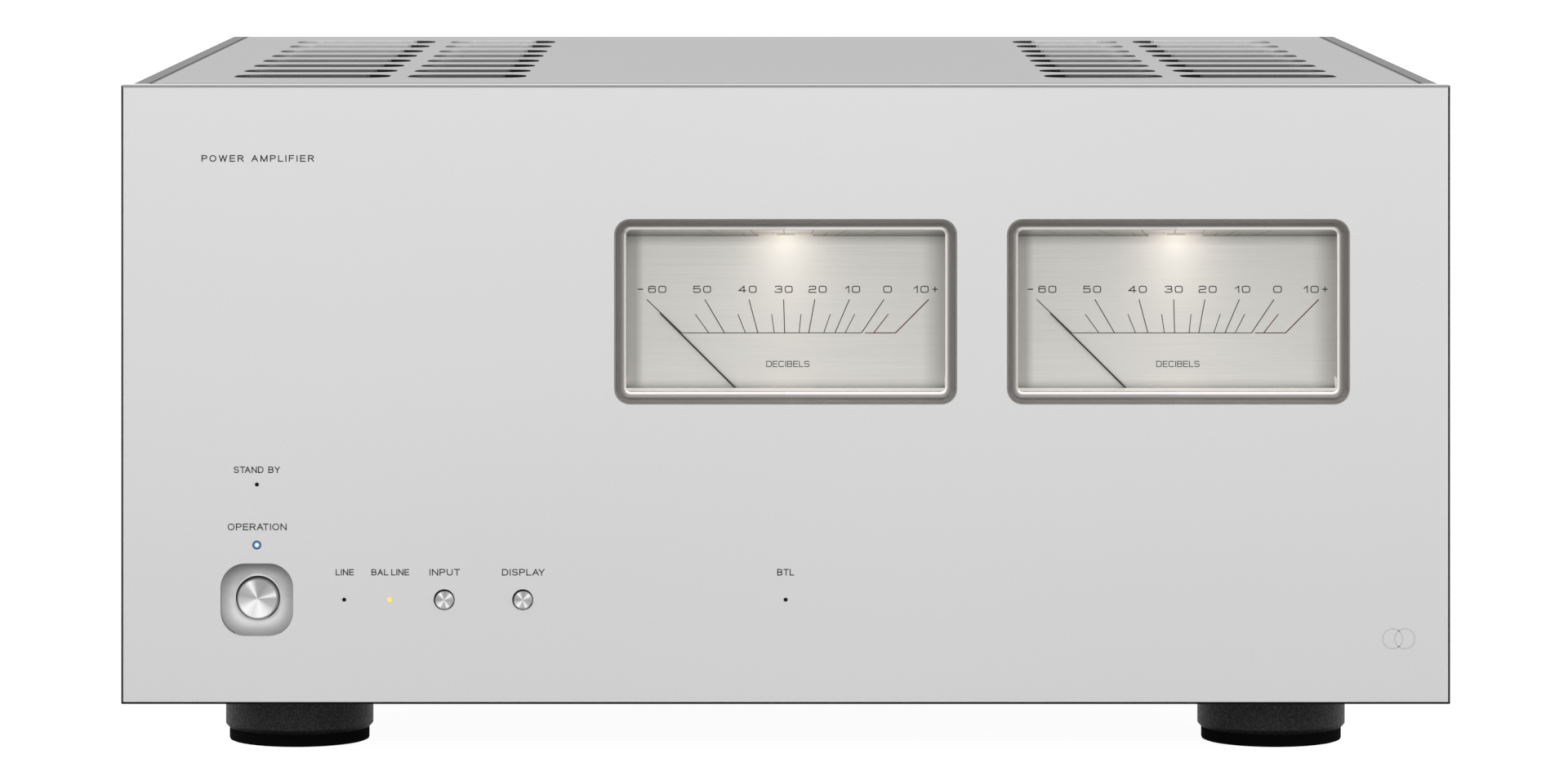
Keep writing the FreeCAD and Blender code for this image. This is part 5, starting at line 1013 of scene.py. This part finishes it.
def world():
    w = bpy.data.worlds.new("studio")
    w.use_nodes = True
    t = w.node_tree
    t.nodes.clear()
    out = t.nodes.new("ShaderNodeOutputWorld")
    geo = t.nodes.new("ShaderNodeTexCoord")
    sep = t.nodes.new("ShaderNodeSeparateXYZ")
    t.links.new(geo.outputs["Generated"], sep.inputs[0])

    def ramp(sock, a, b, stops):
        m = t.nodes.new("ShaderNodeMapRange")
        t.links.new(sock, m.inputs["Value"])
        m.inputs["From Min"].default_value = a
        m.inputs["From Max"].default_value = b
        r = t.nodes.new("ShaderNodeValToRGB")
        t.links.new(m.outputs["Result"], r.inputs[0])
        e = r.color_ramp.elements
        while len(e) < len(stops):
            e.new(0.5)
        for el, (p, v) in zip(e, stops):
            el.position = p
            el.color = (v, v, v, 1)
        return r.outputs["Color"]

    # brightness by height above the horizon, and by how far round to the side
    high = ramp(sep.outputs[2], -1.0, 1.0, [(0.0, 0.05), (0.22, 0.14), (0.38, 0.56), (0.55, 0.66), (0.72, 0.52), (1.0, 0.42)])
    side = ramp(sep.outputs[0], -1.0, 1.0, [(0.0, 1.0), (0.24, 1.0), (0.42, 0.72), (0.58, 0.72), (0.76, 1.0), (1.0, 1.0)])
    mul = t.nodes.new("ShaderNodeMix")
    mul.data_type = "RGBA"
    mul.blend_type = "MULTIPLY"
    mul.inputs["Factor"].default_value = 1.0
    cols = [s for s in mul.inputs if s.type == "RGBA"]
    t.links.new(high, cols[0])
    t.links.new(side, cols[1])
    bg = t.nodes.new("ShaderNodeBackground")
    t.links.new([o for o in mul.outputs if o.type == "RGBA"][0], bg.inputs["Color"])
    bg.inputs["Strength"].default_value = 1.25
    cam_bg = t.nodes.new("ShaderNodeBackground")
    cam_bg.inputs["Color"].default_value = (1, 1, 1, 1)
    cam_bg.inputs["Strength"].default_value = 1.0
    lp = t.nodes.new("ShaderNodeLightPath")
    mx = t.nodes.new("ShaderNodeMixShader")
    t.links.new(lp.outputs["Is Camera Ray"], mx.inputs[0])
    t.links.new(bg.outputs[0], mx.inputs[1])
    t.links.new(cam_bg.outputs[0], mx.inputs[2])
    t.links.new(mx.outputs[0], out.inputs["Surface"])
    scene.world = w


world()

# ------------------------------------------------------------------ camera: level view with a lens shift, held only at this position
CAM = (-0.0039, -2.604, 0.3237)
cam = bpy.data.cameras.new("camera")
cam.sensor_width = 36.0
cam.lens = 163.8
cam.clip_start = 0.05
cam.clip_end = 200.0
co = bpy.data.objects.new("camera", cam)
scene.collection.objects.link(co)
co.location = CAM
co.rotation_euler = (math.pi / 2, 0, 0)
scene.camera = co


def shift_driver(prop, value):
    d = cam.driver_add(prop).driver
    d.type = "SCRIPTED"
    for nm, kind in (("cy", "LOC_Y"), ("cz", "LOC_Z")):
        v = d.variables.new()
        v.name = nm
        v.type = "TRANSFORMS"
        v.targets[0].id = co
        v.targets[0].transform_type = kind
        v.targets[0].transform_space = "WORLD_SPACE"
    d.expression = "%.6f if cy > -2.606 and cy < -2.602 and cz > 0.32 and cz < 0.327 else 0" % value


shift_driver("shift_x", 0.00646)
shift_driver("shift_y", -0.38385)

scene.view_settings.view_transform = "Standard"
scene.view_settings.look = "None"
scene.view_settings.exposure = 0.0
scene.view_settings.gamma = 1.0
